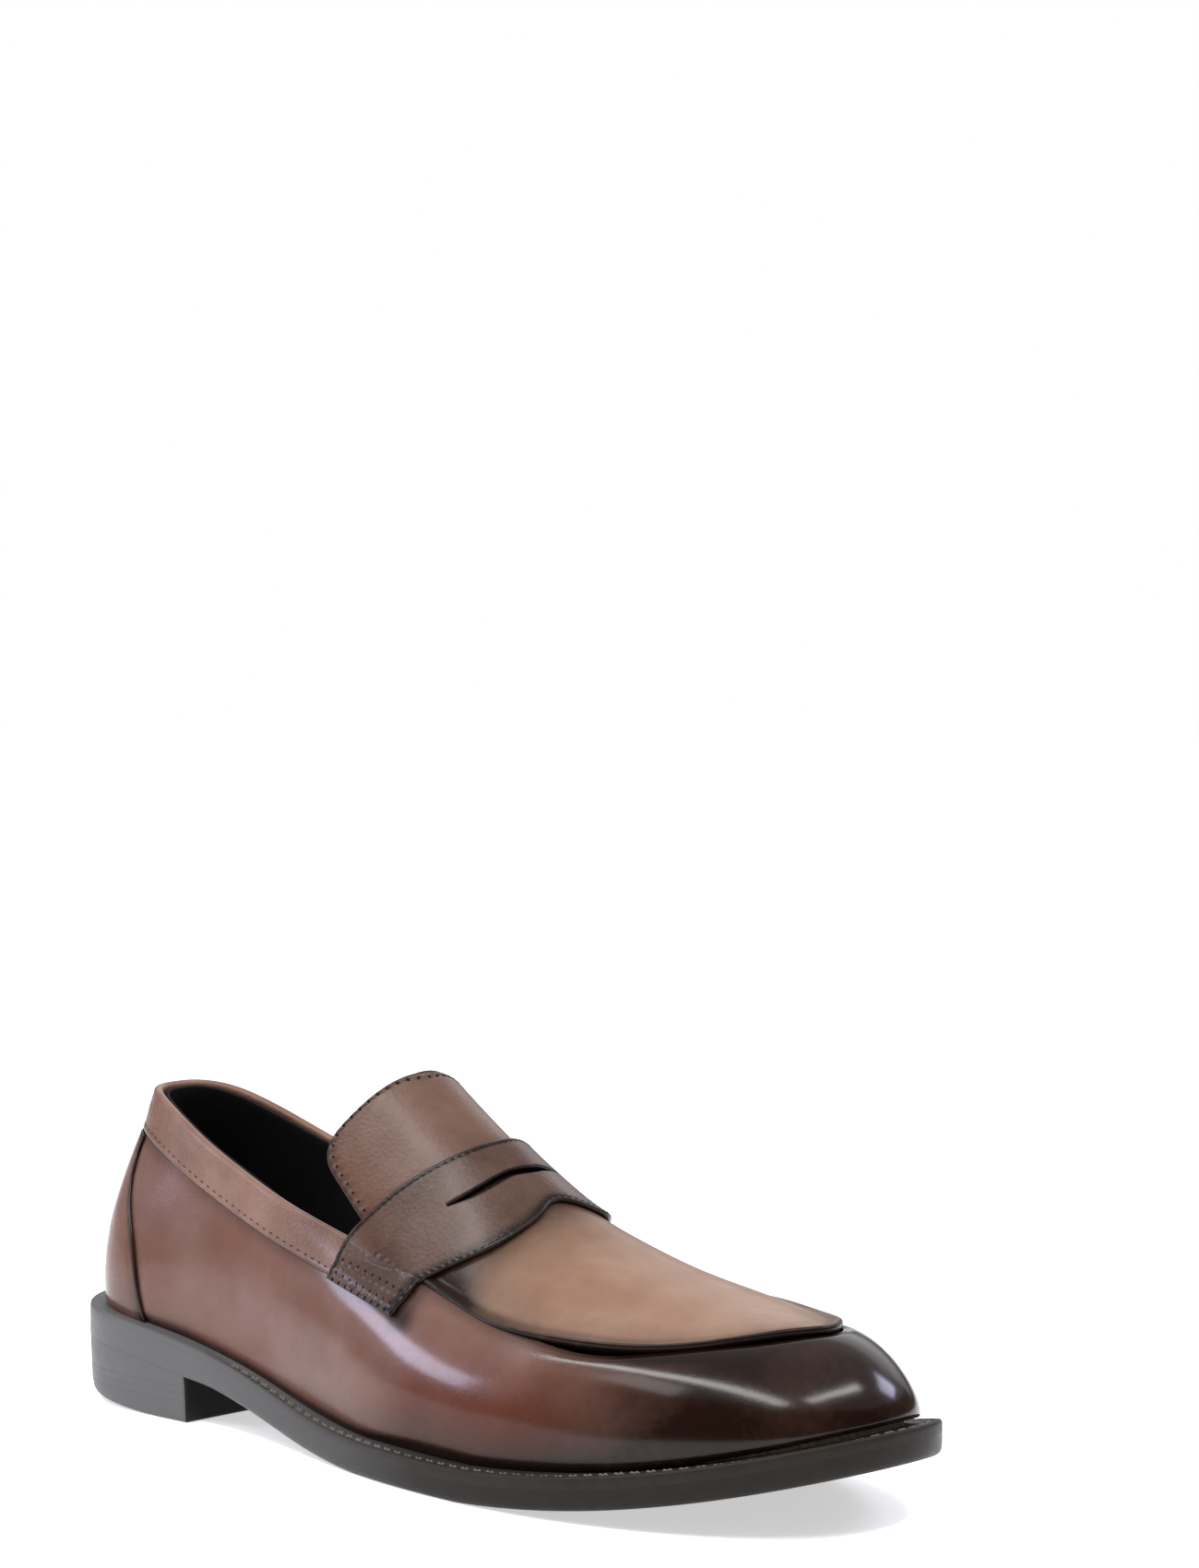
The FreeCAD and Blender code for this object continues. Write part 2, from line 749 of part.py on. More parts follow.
def strap_guides(share):
    """Points across the shoe at a share of the way from the strap's rear to its front edge."""
    def between(pair):
        (p0, q0), (p1, q1) = pair
        return p0 + (p1 - p0) * share, q0 + (q1 - q0) * share

    def end(side):
        rear_lift = (STRAP_OVER_WALL, STRAP_OVER_COLLAR, STRAP_OVER_COLLAR)
        lifts = [lift + (STRAP_OVER_WALL - lift) * ramp(share, 0, 0.5) for lift in rear_lift]
        return [wall_point(*between(pair), side, lift) for pair, lift in zip(STRAP_END, lifts)]

    top = [instep(*between(pair), STRAP_OVER_INSTEP) for pair in STRAP_TOP]
    points = end(1) + top + end(-1)[::-1]
    knots = [i / (len(points) - 1) for i in range(len(points))]
    return smooth_curve(points, knots=knots)


strap_rear, strap_middle, strap_front = (strap_guides(share) for share in (0.0, 0.5, 1.0))


def strap_surface(b, a):
    """Outer face: b runs from the rear to the front edge, a from lateral to medial."""
    weights = (2 * (b - 0.5) * (b - 1), 4 * b * (1 - b), 2 * b * (b - 0.5))
    points = (strap_rear(a), strap_middle(a), strap_front(a))
    return tuple(sum(k * p[i] for k, p in zip(weights, points)) for i in range(3))


# The slit, across the strap: where it starts and ends, and its rear and front border.
SLIT_START, SLIT_END = 0.33, 0.64
slit_rear = graph((.33, .40), (.40, .39), (.46, .40), (.52, .44), (.58, .42), (.64, .42))
slit_width = graph((.33, .01), (.38, .055), (.46, .07), (.53, .09), (.58, .06), (.64, .01))


def slit_surface(b, a):
    across = SLIT_START + (SLIT_END - SLIT_START) * a
    return strap_surface(slit_rear(across) + slit_width(across) * b, across)


strap_blank = sheet_solid(strap_surface, 6, 48, constant(0.0), constant(-STRAP))
slit_tool = sheet_solid(slit_surface, 2, 16, constant(1.0), constant(-STRAP - 1.0))
feature("saddle_strap", strap_blank.cut(slit_tool).Solids[0])


# ---------------------------------------------------------------- thread

THREAD = size("thread_diameter")
STITCH_SHARE = 0.72


def stitches(path, pitch, samples=240):
    """Short straight threads laid along a path, each a solid of its own."""
    points = [place(path(i / samples)) for i in range(samples + 1)]
    lengths = [0.0]
    for a, b in zip(points, points[1:]):
        lengths.append(lengths[-1] + a.distanceToPoint(b))

    def at(distance):
        i = max(k for k, value in enumerate(lengths[:-1]) if value <= distance)
        share = (distance - lengths[i]) / (lengths[i + 1] - lengths[i])
        return points[i] + (points[i + 1] - points[i]) * share

    count = int(lengths[-1] / pitch)
    step = lengths[-1] / count
    threads = []
    for i in range(count):
        a, b = at(step * (i + 0.14)), at(step * (i + 0.14 + STITCH_SHARE))
        threads.append(Part.makeCylinder(THREAD / 2, a.distanceToPoint(b), a, b - a))
    return threads


def welt_path(share):
    x = outline(share)[0]
    height = sole_bottom(x) + SIDE - size("channel_depth") + THREAD / 2 + GAP
    return inset_outline(share, 3.3) + (height,)


def row_on(surface, a, b):
    """Path of a stitch row on a surface, with a and b functions of the share along it."""
    return lambda share: stand_off(surface, a(share), b(share), THREAD / 2 + GAP)


def blend(first, last):
    return lambda share: first + (last - first) * share


UPPER_PITCH = size("upper_pitch")
feature("welt_stitching", Part.makeCompound(stitches(welt_path, size("welt_pitch"))))

strap_threads = []
for edge in (0.08, 0.92):
    strap_threads += stitches(row_on(strap_surface, blend(edge, edge), blend(0.16, 0.84)), UPPER_PITCH)
for end_row in (0.012, 0.055, 0.15, 0.85, 0.945, 0.988):
    strap_threads += stitches(row_on(strap_surface, blend(0.1, 0.9), blend(end_row, end_row)), UPPER_PITCH)
feature("strap_stitching", Part.makeCompound(strap_threads))

TONGUE_ROW = 3.0                  # from the row to the tongue's edge


def tongue_path(share):
    """Up one side of the tongue, across its top edge and down the other side."""
    corner, start = 0.36, 147
    row_top = TONGUE_TOP + TONGUE_ROW
    side_run = start - row_top - 2
    if share < corner:
        s, y = start - side_run * share / corner, -1.0
    elif share > 1 - corner:
        s, y = start - side_run * (1 - share) / corner, 1.0
    else:
        y = (share - 0.5) / (0.5 - corner)
        s = row_top + 2 * y ** 6
    return instep(s, crest_y(s) + y * (tongue_half(s) - TONGUE_ROW - 0.6), THREAD / 2 + GAP)


feature("tongue_stitching", Part.makeCompound(stitches(tongue_path, UPPER_PITCH)))

COLLAR_ROW = 2.2                  # from the row to the band's lower edge


def collar_path(share):
    t = medial_end + (lateral_end - medial_end) * (0.04 + 0.92 * share)
    return stand_off(wall, t, below_top(t, COLLAR_WIDTH - COLLAR_ROW), COLLAR + 2 * GAP + THREAD / 2)


feature("collar_stitching", Part.makeCompound(stitches(collar_path, UPPER_PITCH, 120)))


# ---------------------------------------------------------------- write the parts

def main():
    doc.recompute()
    for thing in doc.Objects:
        if "Invalid" in thing.State or "Error" in thing.State:
            raise RuntimeError("failed object: " + thing.Name)
    for node in nodes:
        shape = node.Shape
        if shape.isNull() or not shape.isValid() or not shape.Solids:
            raise RuntimeError("bad shape: " + node.Label)
    os.makedirs("parts", exist_ok=True)
    for node in nodes:
        node.Shape.exportStep("parts/%s.step" % node.Label)
        print("%-18s %2d solid %9.0f mm3" % (node.Label, len(node.Shape.Solids), node.Shape.Volume))


main()
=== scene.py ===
import math
import bmesh
import bpy
import numpy as np
from mathutils import Euler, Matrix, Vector


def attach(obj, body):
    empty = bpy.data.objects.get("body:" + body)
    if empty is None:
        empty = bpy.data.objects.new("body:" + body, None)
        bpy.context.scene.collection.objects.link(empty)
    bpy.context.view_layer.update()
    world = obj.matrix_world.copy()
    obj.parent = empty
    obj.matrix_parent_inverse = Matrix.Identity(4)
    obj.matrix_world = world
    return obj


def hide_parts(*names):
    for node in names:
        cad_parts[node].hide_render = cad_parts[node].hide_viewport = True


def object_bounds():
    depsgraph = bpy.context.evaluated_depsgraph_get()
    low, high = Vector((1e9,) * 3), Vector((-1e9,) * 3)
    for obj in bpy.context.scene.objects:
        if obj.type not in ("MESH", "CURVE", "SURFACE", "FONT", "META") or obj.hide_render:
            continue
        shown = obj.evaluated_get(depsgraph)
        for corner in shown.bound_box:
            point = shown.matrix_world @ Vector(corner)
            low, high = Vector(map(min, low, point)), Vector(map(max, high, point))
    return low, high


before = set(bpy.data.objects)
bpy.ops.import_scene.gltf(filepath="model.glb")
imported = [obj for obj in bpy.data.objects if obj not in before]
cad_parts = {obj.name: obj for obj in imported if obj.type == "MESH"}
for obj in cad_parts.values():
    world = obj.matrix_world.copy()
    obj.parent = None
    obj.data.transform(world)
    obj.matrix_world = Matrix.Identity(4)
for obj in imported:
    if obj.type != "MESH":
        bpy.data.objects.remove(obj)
cad_low, cad_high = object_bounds()

# A right-foot penny loafer. Shape functions work in last coordinates, in mm, on numpy arrays:
# x runs from the back of the heel to the toe, y is positive on the medial side, z is up.
# place() turns them into the frame's metres, whose origin is the centre of the footprint.

LENGTH = 1000 * (cad_high.x - cad_low.x)
MM = 0.001

# Sizes of the layers, in mm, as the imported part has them.
OUTSOLE, WELT = 5.8, 3.5
SIDE = OUTSOLE + WELT
FEATHER = 9.4                     # foot of the upper above the outsole's underside
INSOLE, PAD, SOCK = 2.3, 3.0, 1.3
TOP_PIECE, LIFT = 6.4, 2.2
HEEL_ROLL, ROLL_HEIGHT = 52.0, 5.4  # back part of the heel that rises off the ground
HEEL = 63.0
SEAT_HEIGHT = 17.0                # middling height of the heel block's top, which slopes
GAP = 0.06
UPPER, LINING, STIFFENER = 1.6, 1.0, 0.8
COLLAR, COLLAR_WIDTH = 1.2, 13.5
STRAP = 1.7
APRON_LIFT = 0.5


# ---------------------------------------------------------------- curves

class Spline:
    """Cubic spline through points, as a function of t from 0 to 1."""

    def __init__(self, points, closed=False, knots=None):
        points = np.array(points, float)
        if closed:
            points = np.vstack([points, points[:1]])
        if knots is None:
            steps = np.sqrt(np.linalg.norm(np.diff(points, axis=0), axis=1))
            knots = np.concatenate([[0], np.cumsum(steps)]) / steps.sum()
        self.points, self.knots, self.closed = points, np.array(knots), closed
        self.widths = np.diff(self.knots)
        n = len(self.widths)
        count = n if closed else n + 1
        matrix = np.zeros((count, count))
        right = np.zeros((count, points.shape[1]))
        slopes = np.diff(points, axis=0) / self.widths[:, None]
        for i in range(0 if closed else 1, n):
            matrix[i, (i - 1) % count] += self.widths[i - 1]
            matrix[i, i] += 2 * (self.widths[i - 1] + self.widths[i])
            matrix[i, (i + 1) % count] += self.widths[i]
            right[i] = 6 * (slopes[i] - slopes[i - 1])
        if not closed:
            matrix[0, 0] = matrix[n, n] = 1
        bends = np.linalg.solve(matrix, right)
        self.bends = np.vstack([bends, bends[:1]]) if closed else bends

    def __call__(self, t):
        t = np.asarray(t, float)
        if self.closed:
            t = t % 1.0
        i = np.clip(np.searchsorted(self.knots, t) - 1, 0, len(self.widths) - 1)
        w = self.widths[i][..., None]
        a = (self.knots[i + 1] - t)[..., None]
        b = (t - self.knots[i])[..., None]
        p, m = self.points, self.bends
        curved = (m[i] * a ** 3 + m[i + 1] * b ** 3) / (6 * w)
        return curved + (p[i] / w - m[i] * w / 6) * a + (p[i + 1] / w - m[i + 1] * w / 6) * b


def graph(*stations):
    """Smooth function of one number through (x, value) stations, straight beyond the ends."""
    xs, values = zip(*stations)
    span = xs[-1] - xs[0]
    curve = Spline([(v,) for v in values], knots=[(x - xs[0]) / span for x in xs])
    step = 1e-4
    start_slope = (curve(step) - curve(0))[0] / step
    end_slope = (curve(1) - curve(1 - step))[0] / step

    def value(x):
        t = (np.asarray(x, float) - xs[0]) / span
        inside = curve(np.clip(t, 0, 1))[..., 0]
        return inside + start_slope * np.minimum(t, 0) + end_slope * np.maximum(t - 1, 0)

    return value


def ramp(x, start, end):
    """0 before start, 1 after end, smooth between."""
    t = np.clip((x - start) / (end - start), 0, 1)
    return t * t * (3 - 2 * t)


def fade(x, start, end):
    """1 before start, 0 after end, smooth between."""
    return 1 - ramp(x, start, end)


def joined(xy, z):
    """Points from their plan positions and heights."""
    return np.concatenate([xy, np.asarray(z)[..., None]], -1)


def unit(vectors):
    """Vectors of length 1 in the same directions."""
    return vectors / np.linalg.norm(vectors, axis=-1, keepdims=True)


def run_lengths(points):
    """Length along lines of points, from each line's start."""
    steps = np.linalg.norm(np.diff(points, axis=-2), axis=-1)
    return np.concatenate([np.zeros(steps.shape[:-1] + (1,)), np.cumsum(steps, -1)], -1)


# ---------------------------------------------------------------- the last

# The same curves as the CAD part: underside of the outsole, instep line, its crest and
# roundness, and the ledge from the sole's rim to the foot of the upper.
sole_line = graph((0, 20.2), (30, 18.1), (60, 14.3), (85, 9.5), (115, 2.8), (145, 0),
                  (190, 0), (240, 5), (275, 12), (300, 18.5))
TREAD = (145, 190)                # where the sole lies flat on the ground
spine_z = graph((128, 104.3), (145, 92.3), (160, 82), (175, 72.5), (190, 65.5), (210, 58.8),
                (230, 54), (250, 50.5), (270, 48))
crest_y = graph((128, 3.5), (185, 4.5), (270, 5.5))
crown = graph((128, .030), (150, .029), (165, .0265), (180, .0188), (191, .0145), (212, .0096),
              (235, .0071), (255, .0071), (270, .008))
ledge = graph((0, 5.5), (60, 5.4), (150, 6.0), (230, 6.2), (300, 5.6))


def sole_bottom(x):
    """Height of the outsole's underside."""
    return np.where((x > TREAD[0]) & (x < TREAD[1]), 0.0, sole_line(x))


def instep(s, y):
    """Instep surface at station s and side position y, in sections square to its line."""
    s, y = np.broadcast_arrays(np.asarray(s, float), np.asarray(y, float))
    slope = spine_z(s + 0.5) - spine_z(s - 0.5)
    norm = np.hypot(1, slope)
    drop = crown(s) * (y - crest_y(s)) ** 2
    return np.stack([s + slope / norm * drop, y, spine_z(s) - drop / norm], -1)


# Ribs of the side wall, from the heel back by the lateral side to the toe and back:
# outline x, y; top point x, y, z, or station and side on the instep where there is no z;
# rise and outward bulge low down; rise and outward run (as a share) high up.
RIBS = [
    ((0, 1), (19, 1.5, 93.5), .36, 3.5, .74, .30),
    ((6.5, -21), (21.5, -7.5, 93.2), .36, 3.5, .74, .30),
    ((24, -32.5), (33, -15.5, 91), .36, 3.5, .72, .36),
    ((60, -34.5), (62, -23, 80.5), .36, 3.5, .70, .45),
    ((105, -38), (102, -27, 67), .38, 3.5, .72, .55),
    ((150, -48), (167, -28.5), .42, 4.0, .84, .72),
    ((200, -52.5), (212, -35.5), .42, 4.0, .87, .76),
    ((245, -46.5), (239, -30), .36, 3.0, .90, .70),
    ((278, -32), (258.5, -15), .32, 2.0, .91, .62),
    ((295, -14), (267.5, -2), .30, 1.0, .90, .58),
    ((300, 4), (270, 6), .30, 1.0, .90, .58),
    ((296, 21), (268, 14), .30, 1.0, .90, .58),
    ((279, 37), (259, 26), .32, 2.0, .91, .62),
    ((245, 49), (239, 36.5), .36, 3.0, .90, .70),
    ((200, 51.8), (212, 41), .42, 3.0, .87, .76),
    ((150, 38.5), (167, 35.5), .42, 3.5, .84, .72),
    ((105, 30), (102, 30, 67), .38, 3.5, .72, .55),
    ((60, 34.5), (62, 25, 78.5), .36, 3.5, .70, .45),
    ((24, 34), (33, 17.5, 90.2), .36, 3.5, .72, .36),
    ((6.5, 23), (21.5, 10, 93.2), .36, 3.5, .74, .30),
]
outline = Spline([rib[0] for rib in RIBS], closed=True)


def inset_outline(t, inset):
    """Points of the sole's outline moved inwards."""
    direction = unit(outline(t + 1e-4) - outline(t - 1e-4))
    inwards = np.stack([-direction[..., 1], direction[..., 0]], -1)
    return outline(t) + inwards * np.asarray(inset)[..., None]


def feather(t):
    """Foot of the upper, where it meets the welt."""
    x = outline(t)[..., 0]
    return joined(inset_outline(t, ledge(x)), sole_bottom(x) + FEATHER)


def rib_points(rib, t):
    """Lower, upper and top guide point of the wall at a rib."""
    _, top, rise_low, out_low, rise_high, out_high = rib
    foot = feather(t)
    top = np.array(top, float) if len(top) == 3 else instep(*top)
    run = math.dist(top[:2], foot[:2])
    outwards = (foot[:2] - top[:2]) / run
    height = top[2] - foot[2]
    low = joined(foot[:2] + outwards * out_low, foot[2] + rise_low * height)
    high = joined(top[:2] + outwards * out_high * run, foot[2] + rise_high * height)
    return low, high, top


guide_points = zip(*[rib_points(rib, t) for rib, t in zip(RIBS, outline.knots)])
low_curve, high_curve, wall_top = (Spline(points, True, outline.knots) for points in guide_points)


def wall(t, v):
    """Side wall: t goes round from the heel back, v rises from 0 to 1."""
    t, v = np.broadcast_arrays(np.asarray(t, float), np.asarray(v, float))
    v = v[..., None]
    w = 1 - v
    low, high = low_curve(t), high_curve(t)
    return feather(t) * w ** 3 + low * 3 * v * w * w + high * 3 * v * v * w + wall_top(t) * v ** 3


def below_top(t, distance):
    """The v that lies a distance down the wall from its top edge."""
    t = np.asarray(t, float)
    lengths = run_lengths(wall(t[..., None], np.linspace(0, 1, 25)))
    goal = np.maximum(0, lengths[..., -1] - distance)
    i = np.clip((lengths <= goal[..., None]).sum(-1) - 1, 0, 23)
    start = np.take_along_axis(lengths, i[..., None], -1)[..., 0]
    end = np.take_along_axis(lengths, i[..., None] + 1, -1)[..., 0]
    return (i + (goal - start) / (end - start)) / 24


def station(curve, x, side):
    """The t where a closed curve round the shoe passes x; side is 1 lateral, -1 medial."""
    t = np.linspace(0.02, 0.47, 400)
    return side * float(np.interp(x, curve(side * t)[:, 0], t))


# ---------------------------------------------------------------- strap

# Its rear and front edge from the lateral end over the instep to the medial end: x and
# height on the wall at the ends, station and side position on the instep between them.
STRAP_END = [((121.5, 49), (152.7, 42.8)), ((124.3, 53), (154.8, 46.6)), ((125.2, 57.4), (156.2, 50.2))]
STRAP_TOP = [((148, -29), (171.2, -28.8)), ((148.7, -22), (176, -22.5)), ((150.5, -14), (179, -15)),
             ((152.3, -6), (178.6, -6)), ((153.2, 1), (176, 0.5)), ((153, 8), (177.5, 7.5)),
             ((151.8, 17), (180.5, 17)), ((150, 25), (178, 26)), ((148, 35), (171, 37))]
OVER_WALL = STRAP + 2 * GAP
OVER_COLLAR = OVER_WALL + COLLAR
OVER_INSTEP = OVER_WALL + APRON_LIFT


def stand_off(surface, p, q, distance):
    """Points at a distance along the surface's outward normal."""
    step = 1e-3
    along = surface(p + step, q) - surface(p - step, q)
    across = surface(p, q + step) - surface(p, q - step)
    normal = unit(np.cross(along, across))
    return surface(p, q) + normal * np.asarray(distance)[..., None]


def halve(low, high, test):
    """The number between low and high where test turns from true to false."""
    for _ in range(30):
        middle = (low + high) / 2
        if test(middle):
            low = middle
        else:
            high = middle
    return (low + high) / 2


def wall_point(x, z, side, lift):
    """Point off the side wall at a given x and height."""
    t, v = side * 0.2, 0.7
    for _ in range(6):
        t = side * halve(0.05, 0.45, lambda t: wall(side * t, v)[0] < x)
        v = halve(0.1, 1.0, lambda v: wall(t, v)[2] < z)
    return stand_off(wall, t, v, lift)


def strap_guide(share):
    """Curve across the shoe at a share of the way from the strap's rear to its front edge."""
    def between(pair):
        rear, front = np.array(pair, float)
        return rear + (front - rear) * share

    def end(side):
        rear_lifts = (OVER_WALL, OVER_COLLAR, OVER_COLLAR)
        lifts = [lift + (OVER_WALL - lift) * ramp(share, 0, 0.5) for lift in rear_lifts]
        return [wall_point(*between(pair), side, lift) for pair, lift in zip(STRAP_END, lifts)]

    top = [stand_off(instep, *between(pair), OVER_INSTEP) for pair in STRAP_TOP]
    points = end(1) + top + end(-1)[::-1]
    return Spline(points, knots=np.linspace(0, 1, len(points)))


strap_guides = [strap_guide(share) for share in (0.0, 0.5, 1.0)]


def strap(b, a):
    """Outer face of the strap: b runs from its rear to its front edge, a to the medial end."""
    a, b = np.broadcast_arrays(np.asarray(a, float), np.asarray(b, float))
    weights = (2 * (b - 0.5) * (b - 1), 4 * b * (1 - b), 2 * b * (b - 0.5))
    return sum(w[..., None] * guide(a) for w, guide in zip(weights, strap_guides))


# The slit across the strap: where it starts and ends, its rear border and its width.
SLIT_START, SLIT_END = 0.33, 0.64
slit_rear = graph((.33, .40), (.40, .39), (.46, .40), (.52, .44), (.58, .42), (.64, .42))
slit_width = graph((.33, 0), (.38, .055), (.46, .07), (.53, .09), (.58, .06), (.64, 0))


# ---------------------------------------------------------------- unevenness of the leather

random = np.random.default_rng(11)
WAVES = [(random.normal(size=3), random.uniform(0, 6.28), length) for length in (17, 23, 29, 38, 52, 70)]


def ripple(points):
    """Slow unevenness of leather drawn over a last, in mm."""
    total = 0.0
    for direction, phase, length in WAVES:
        direction = direction / np.linalg.norm(direction) * 2 * math.pi / length
        total = total + 0.0022 * length * np.sin(points @ direction + phase)
    return total


def on_surface(surface, p, q, lift):
    """Points off a surface of the shoe, with the leather's unevenness."""
    return stand_off(surface, p, q, lift + ripple(surface(p, q)))


# ---------------------------------------------------------------- materials

def feed(tree, socket, value):
    """Give a socket a number, a colour or another node's output."""
    if isinstance(value, bpy.types.NodeSocket):
        tree.links.new(value, socket)
    else:
        socket.default_value = (*value, 1) if isinstance(value, tuple) else value


def node(tree, kind, **settings):
    """Shader node with its settings, and with its sockets fed where the name is a socket's."""
    made = tree.nodes.new(kind)
    for name, value in settings.items():
        if hasattr(made, name):
            setattr(made, name, value)
        else:
            feed(tree, made.inputs[name.replace("_", " ")], value)
    return made


def math_node(tree, operation, a, b, c=0.0):
    made = tree.nodes.new("ShaderNodeMath")
    made.operation = operation
    for socket, value in zip(made.inputs, (a, b, c)):
        feed(tree, socket, value)
    return made.outputs[0]


def mix(tree, share, a, b):
    """Colour between a and b."""
    made = tree.nodes.new("ShaderNodeMix")
    made.data_type = "RGBA"
    for index, value in ((0, share), (6, a), (7, b)):
        feed(tree, made.inputs[index], value)
    return made.outputs[2]


def on_object(tree):
    """Place on the shoe, in metres."""
    return tree.nodes.new("ShaderNodeTexCoord").outputs["Object"]


def noise(tree, size, detail=3.0, roughness=0.55):
    """Noise of features of a given size in metres."""
    made = node(tree, "ShaderNodeTexNoise", Vector=on_object(tree), Scale=1 / size, Detail=detail,
                Roughness=roughness)
    return made.outputs["Fac"]


def spread(tree, value, low, high, start=0.3, end=0.7):
    """Map a value from start..end to low..high."""
    made = node(tree, "ShaderNodeMapRange", Value=value)
    for name, number in (("From Min", start), ("From Max", end), ("To Min", low), ("To Max", high)):
        made.inputs[name].default_value = number
    return made.outputs[0]


def attribute(tree, name):
    return node(tree, "ShaderNodeAttribute", attribute_name=name).outputs["Fac"]


def surface_shader(name):
    """New material, its node tree and its main shader."""
    material = bpy.data.materials.new(name)
    material.use_nodes = True
    tree = material.node_tree
    return material, tree, tree.nodes["Principled BSDF"]


def leather(name, light, second, dark, warm, rough=(0.34, 0.46), gloss_rough=0.2, coat=0.25, coat_rough=0.2,
            grain=0.00085, depth=0.00006, cloud_size=0.016):
    """Burnished leather: light with clouds of a second tone, dark where the attribute of burnishing
    and painted shade is 1, warm where "warm" is, glossier where "polish" is, with pebble grain
    and fine pores."""
    material, tree, shader = surface_shader(name)
    cloud = spread(tree, noise(tree, cloud_size), 0.0, 1.0)
    mottle = spread(tree, noise(tree, 0.0032, 5.0), -0.04, 0.04)
    patches = spread(tree, noise(tree, 0.024, 1.0), -0.07, 0.07)
    uneven = math_node(tree, "ADD", mottle, patches)
    burnish_and_shade = math_node(tree, "ADD", attribute(tree, "burnish_and_shade"), uneven)
    colour = mix(tree, cloud, second, light)
    colour = mix(tree, attribute(tree, "warm"), colour, warm)
    clamped = math_node(tree, "MINIMUM", math_node(tree, "MAXIMUM", burnish_and_shade, 0.0), 1.0)
    colour = mix(tree, clamped, colour, dark)
    tree.links.new(colour, shader.inputs["Base Color"])
    matt = spread(tree, noise(tree, 0.006), *rough)
    polish = attribute(tree, "polish")
    gloss = math_node(tree, "MULTIPLY_ADD", polish, gloss_rough, 0.0)
    open_part = math_node(tree, "SUBTRACT", 1.0, polish)
    tree.links.new(math_node(tree, "MULTIPLY_ADD", matt, open_part, gloss), shader.inputs["Roughness"])
    shader.inputs["Specular IOR Level"].default_value = 0.10
    shader.inputs["Coat Weight"].default_value = coat
    shader.inputs["Coat Roughness"].default_value = coat_rough
    cells = node(tree, "ShaderNodeTexVoronoi", feature="SMOOTH_F1", Vector=on_object(tree),
                 Scale=1 / grain, Smoothness=0.6)
    pores = noise(tree, grain * 0.35, 2.0)
    height = math_node(tree, "MULTIPLY_ADD", pores, 0.35, cells.outputs["Distance"])
    smooth = spread(tree, polish, 1.0, 0.25, 0.0, 1.0)
    height = math_node(tree, "MULTIPLY", height, smooth)
    bump = node(tree, "ShaderNodeBump", Height=height, Strength=0.55, Distance=depth * 1.6)
    tree.links.new(bump.outputs[0], shader.inputs["Normal"])
    return material


def plain(name, colour, rough, variation=0.25, size=0.004, depth=0.00003, metal=0.0, behind=None):
    """Even material with cloudy colour, uneven gloss and a fine bump. behind gives another
    colour and the two places along the shoe, in metres, between which it takes over."""
    material, tree, shader = surface_shader(name)
    cloud = spread(tree, noise(tree, size, 5.0), 0.0, 1.0)
    darker = tuple(c * (1 - variation) for c in colour)
    lighter = tuple(min(1.0, c * (1 + variation)) for c in colour)
    mixed = mix(tree, cloud, darker, lighter)
    if behind:
        other, full, none = behind
        along = node(tree, "ShaderNodeSeparateXYZ", Vector=on_object(tree))
        mixed = mix(tree, spread(tree, along.outputs["X"], 1.0, 0.0, full, none), mixed, other)
    tree.links.new(mixed, shader.inputs["Base Color"])
    shader.inputs["Specular IOR Level"].default_value = 0.15
    uneven = spread(tree, noise(tree, size * 0.4), rough * 0.85, rough * 1.15)
    tree.links.new(uneven, shader.inputs["Roughness"])
    shader.inputs["Metallic"].default_value = metal
    bump = node(tree, "ShaderNodeBump", Height=noise(tree, size * 0.15, 4.0), Strength=0.5, Distance=depth)
    tree.links.new(bump.outputs[0], shader.inputs["Normal"])
    return material


ESPRESSO = (0.0085, 0.0030, 0.0016)
ORANGE_BROWN = (0.104, 0.017, 0.002)
burnished = leather("burnished_leather", (0.160, 0.090, 0.076), (0.114, 0.047, 0.029), ESPRESSO, ORANGE_BROWN,
                    rough=(0.30, 0.42), gloss_rough=0.18, coat=0.30, coat_rough=0.14, cloud_size=0.030)
apron_leather = leather("apron_leather", (0.272, 0.170, 0.120), (0.208, 0.114, 0.074), ESPRESSO, ORANGE_BROWN,
                        rough=(0.38, 0.50), coat=0.1, cloud_size=0.022)
collar_leather = leather("collar_leather", (0.236, 0.133, 0.097), (0.165, 0.083, 0.057), ESPRESSO,
                         ORANGE_BROWN, rough=(0.32, 0.42), coat=0.3, coat_rough=0.3, grain=0.0011,
                         depth=0.00024)
black_lining = plain("black_lining", (0.004, 0.0035, 0.0035), 0.7, size=0.003)
sock_leather = plain("sock_leather", (0.006, 0.0055, 0.0055), 0.7, size=0.003)
# grey of the heel block and of the sole's edge towards the heel: partly their own colour, partly a painted
# sheen of the light from that side
HEEL_GREY = (0.098, 0.097, 0.099)
WAIST_FADE = (-0.085, 0.025)              # where the sole's edge turns from grey to dark
BREAST_EDGE = (HEEL - LENGTH / 2 - 0.35) * MM
BREAST_SHADE = (0.007, 0.006, 0.0055)     # the heel's front face, painted dark as shade
sole_rubber = plain("sole_rubber", (0.012, 0.0098, 0.0078), 0.42, variation=0.12, size=0.005,
                    behind=(HEEL_GREY, *WAIST_FADE))
# the welt takes the sole's rubber made lighter: painted light on the welt's top, which the upper shades
welt_rubber = plain("welt_rubber", (0.017, 0.0138, 0.0115), 0.48, variation=0.15, size=0.004,
                    behind=(HEEL_GREY, *WAIST_FADE))
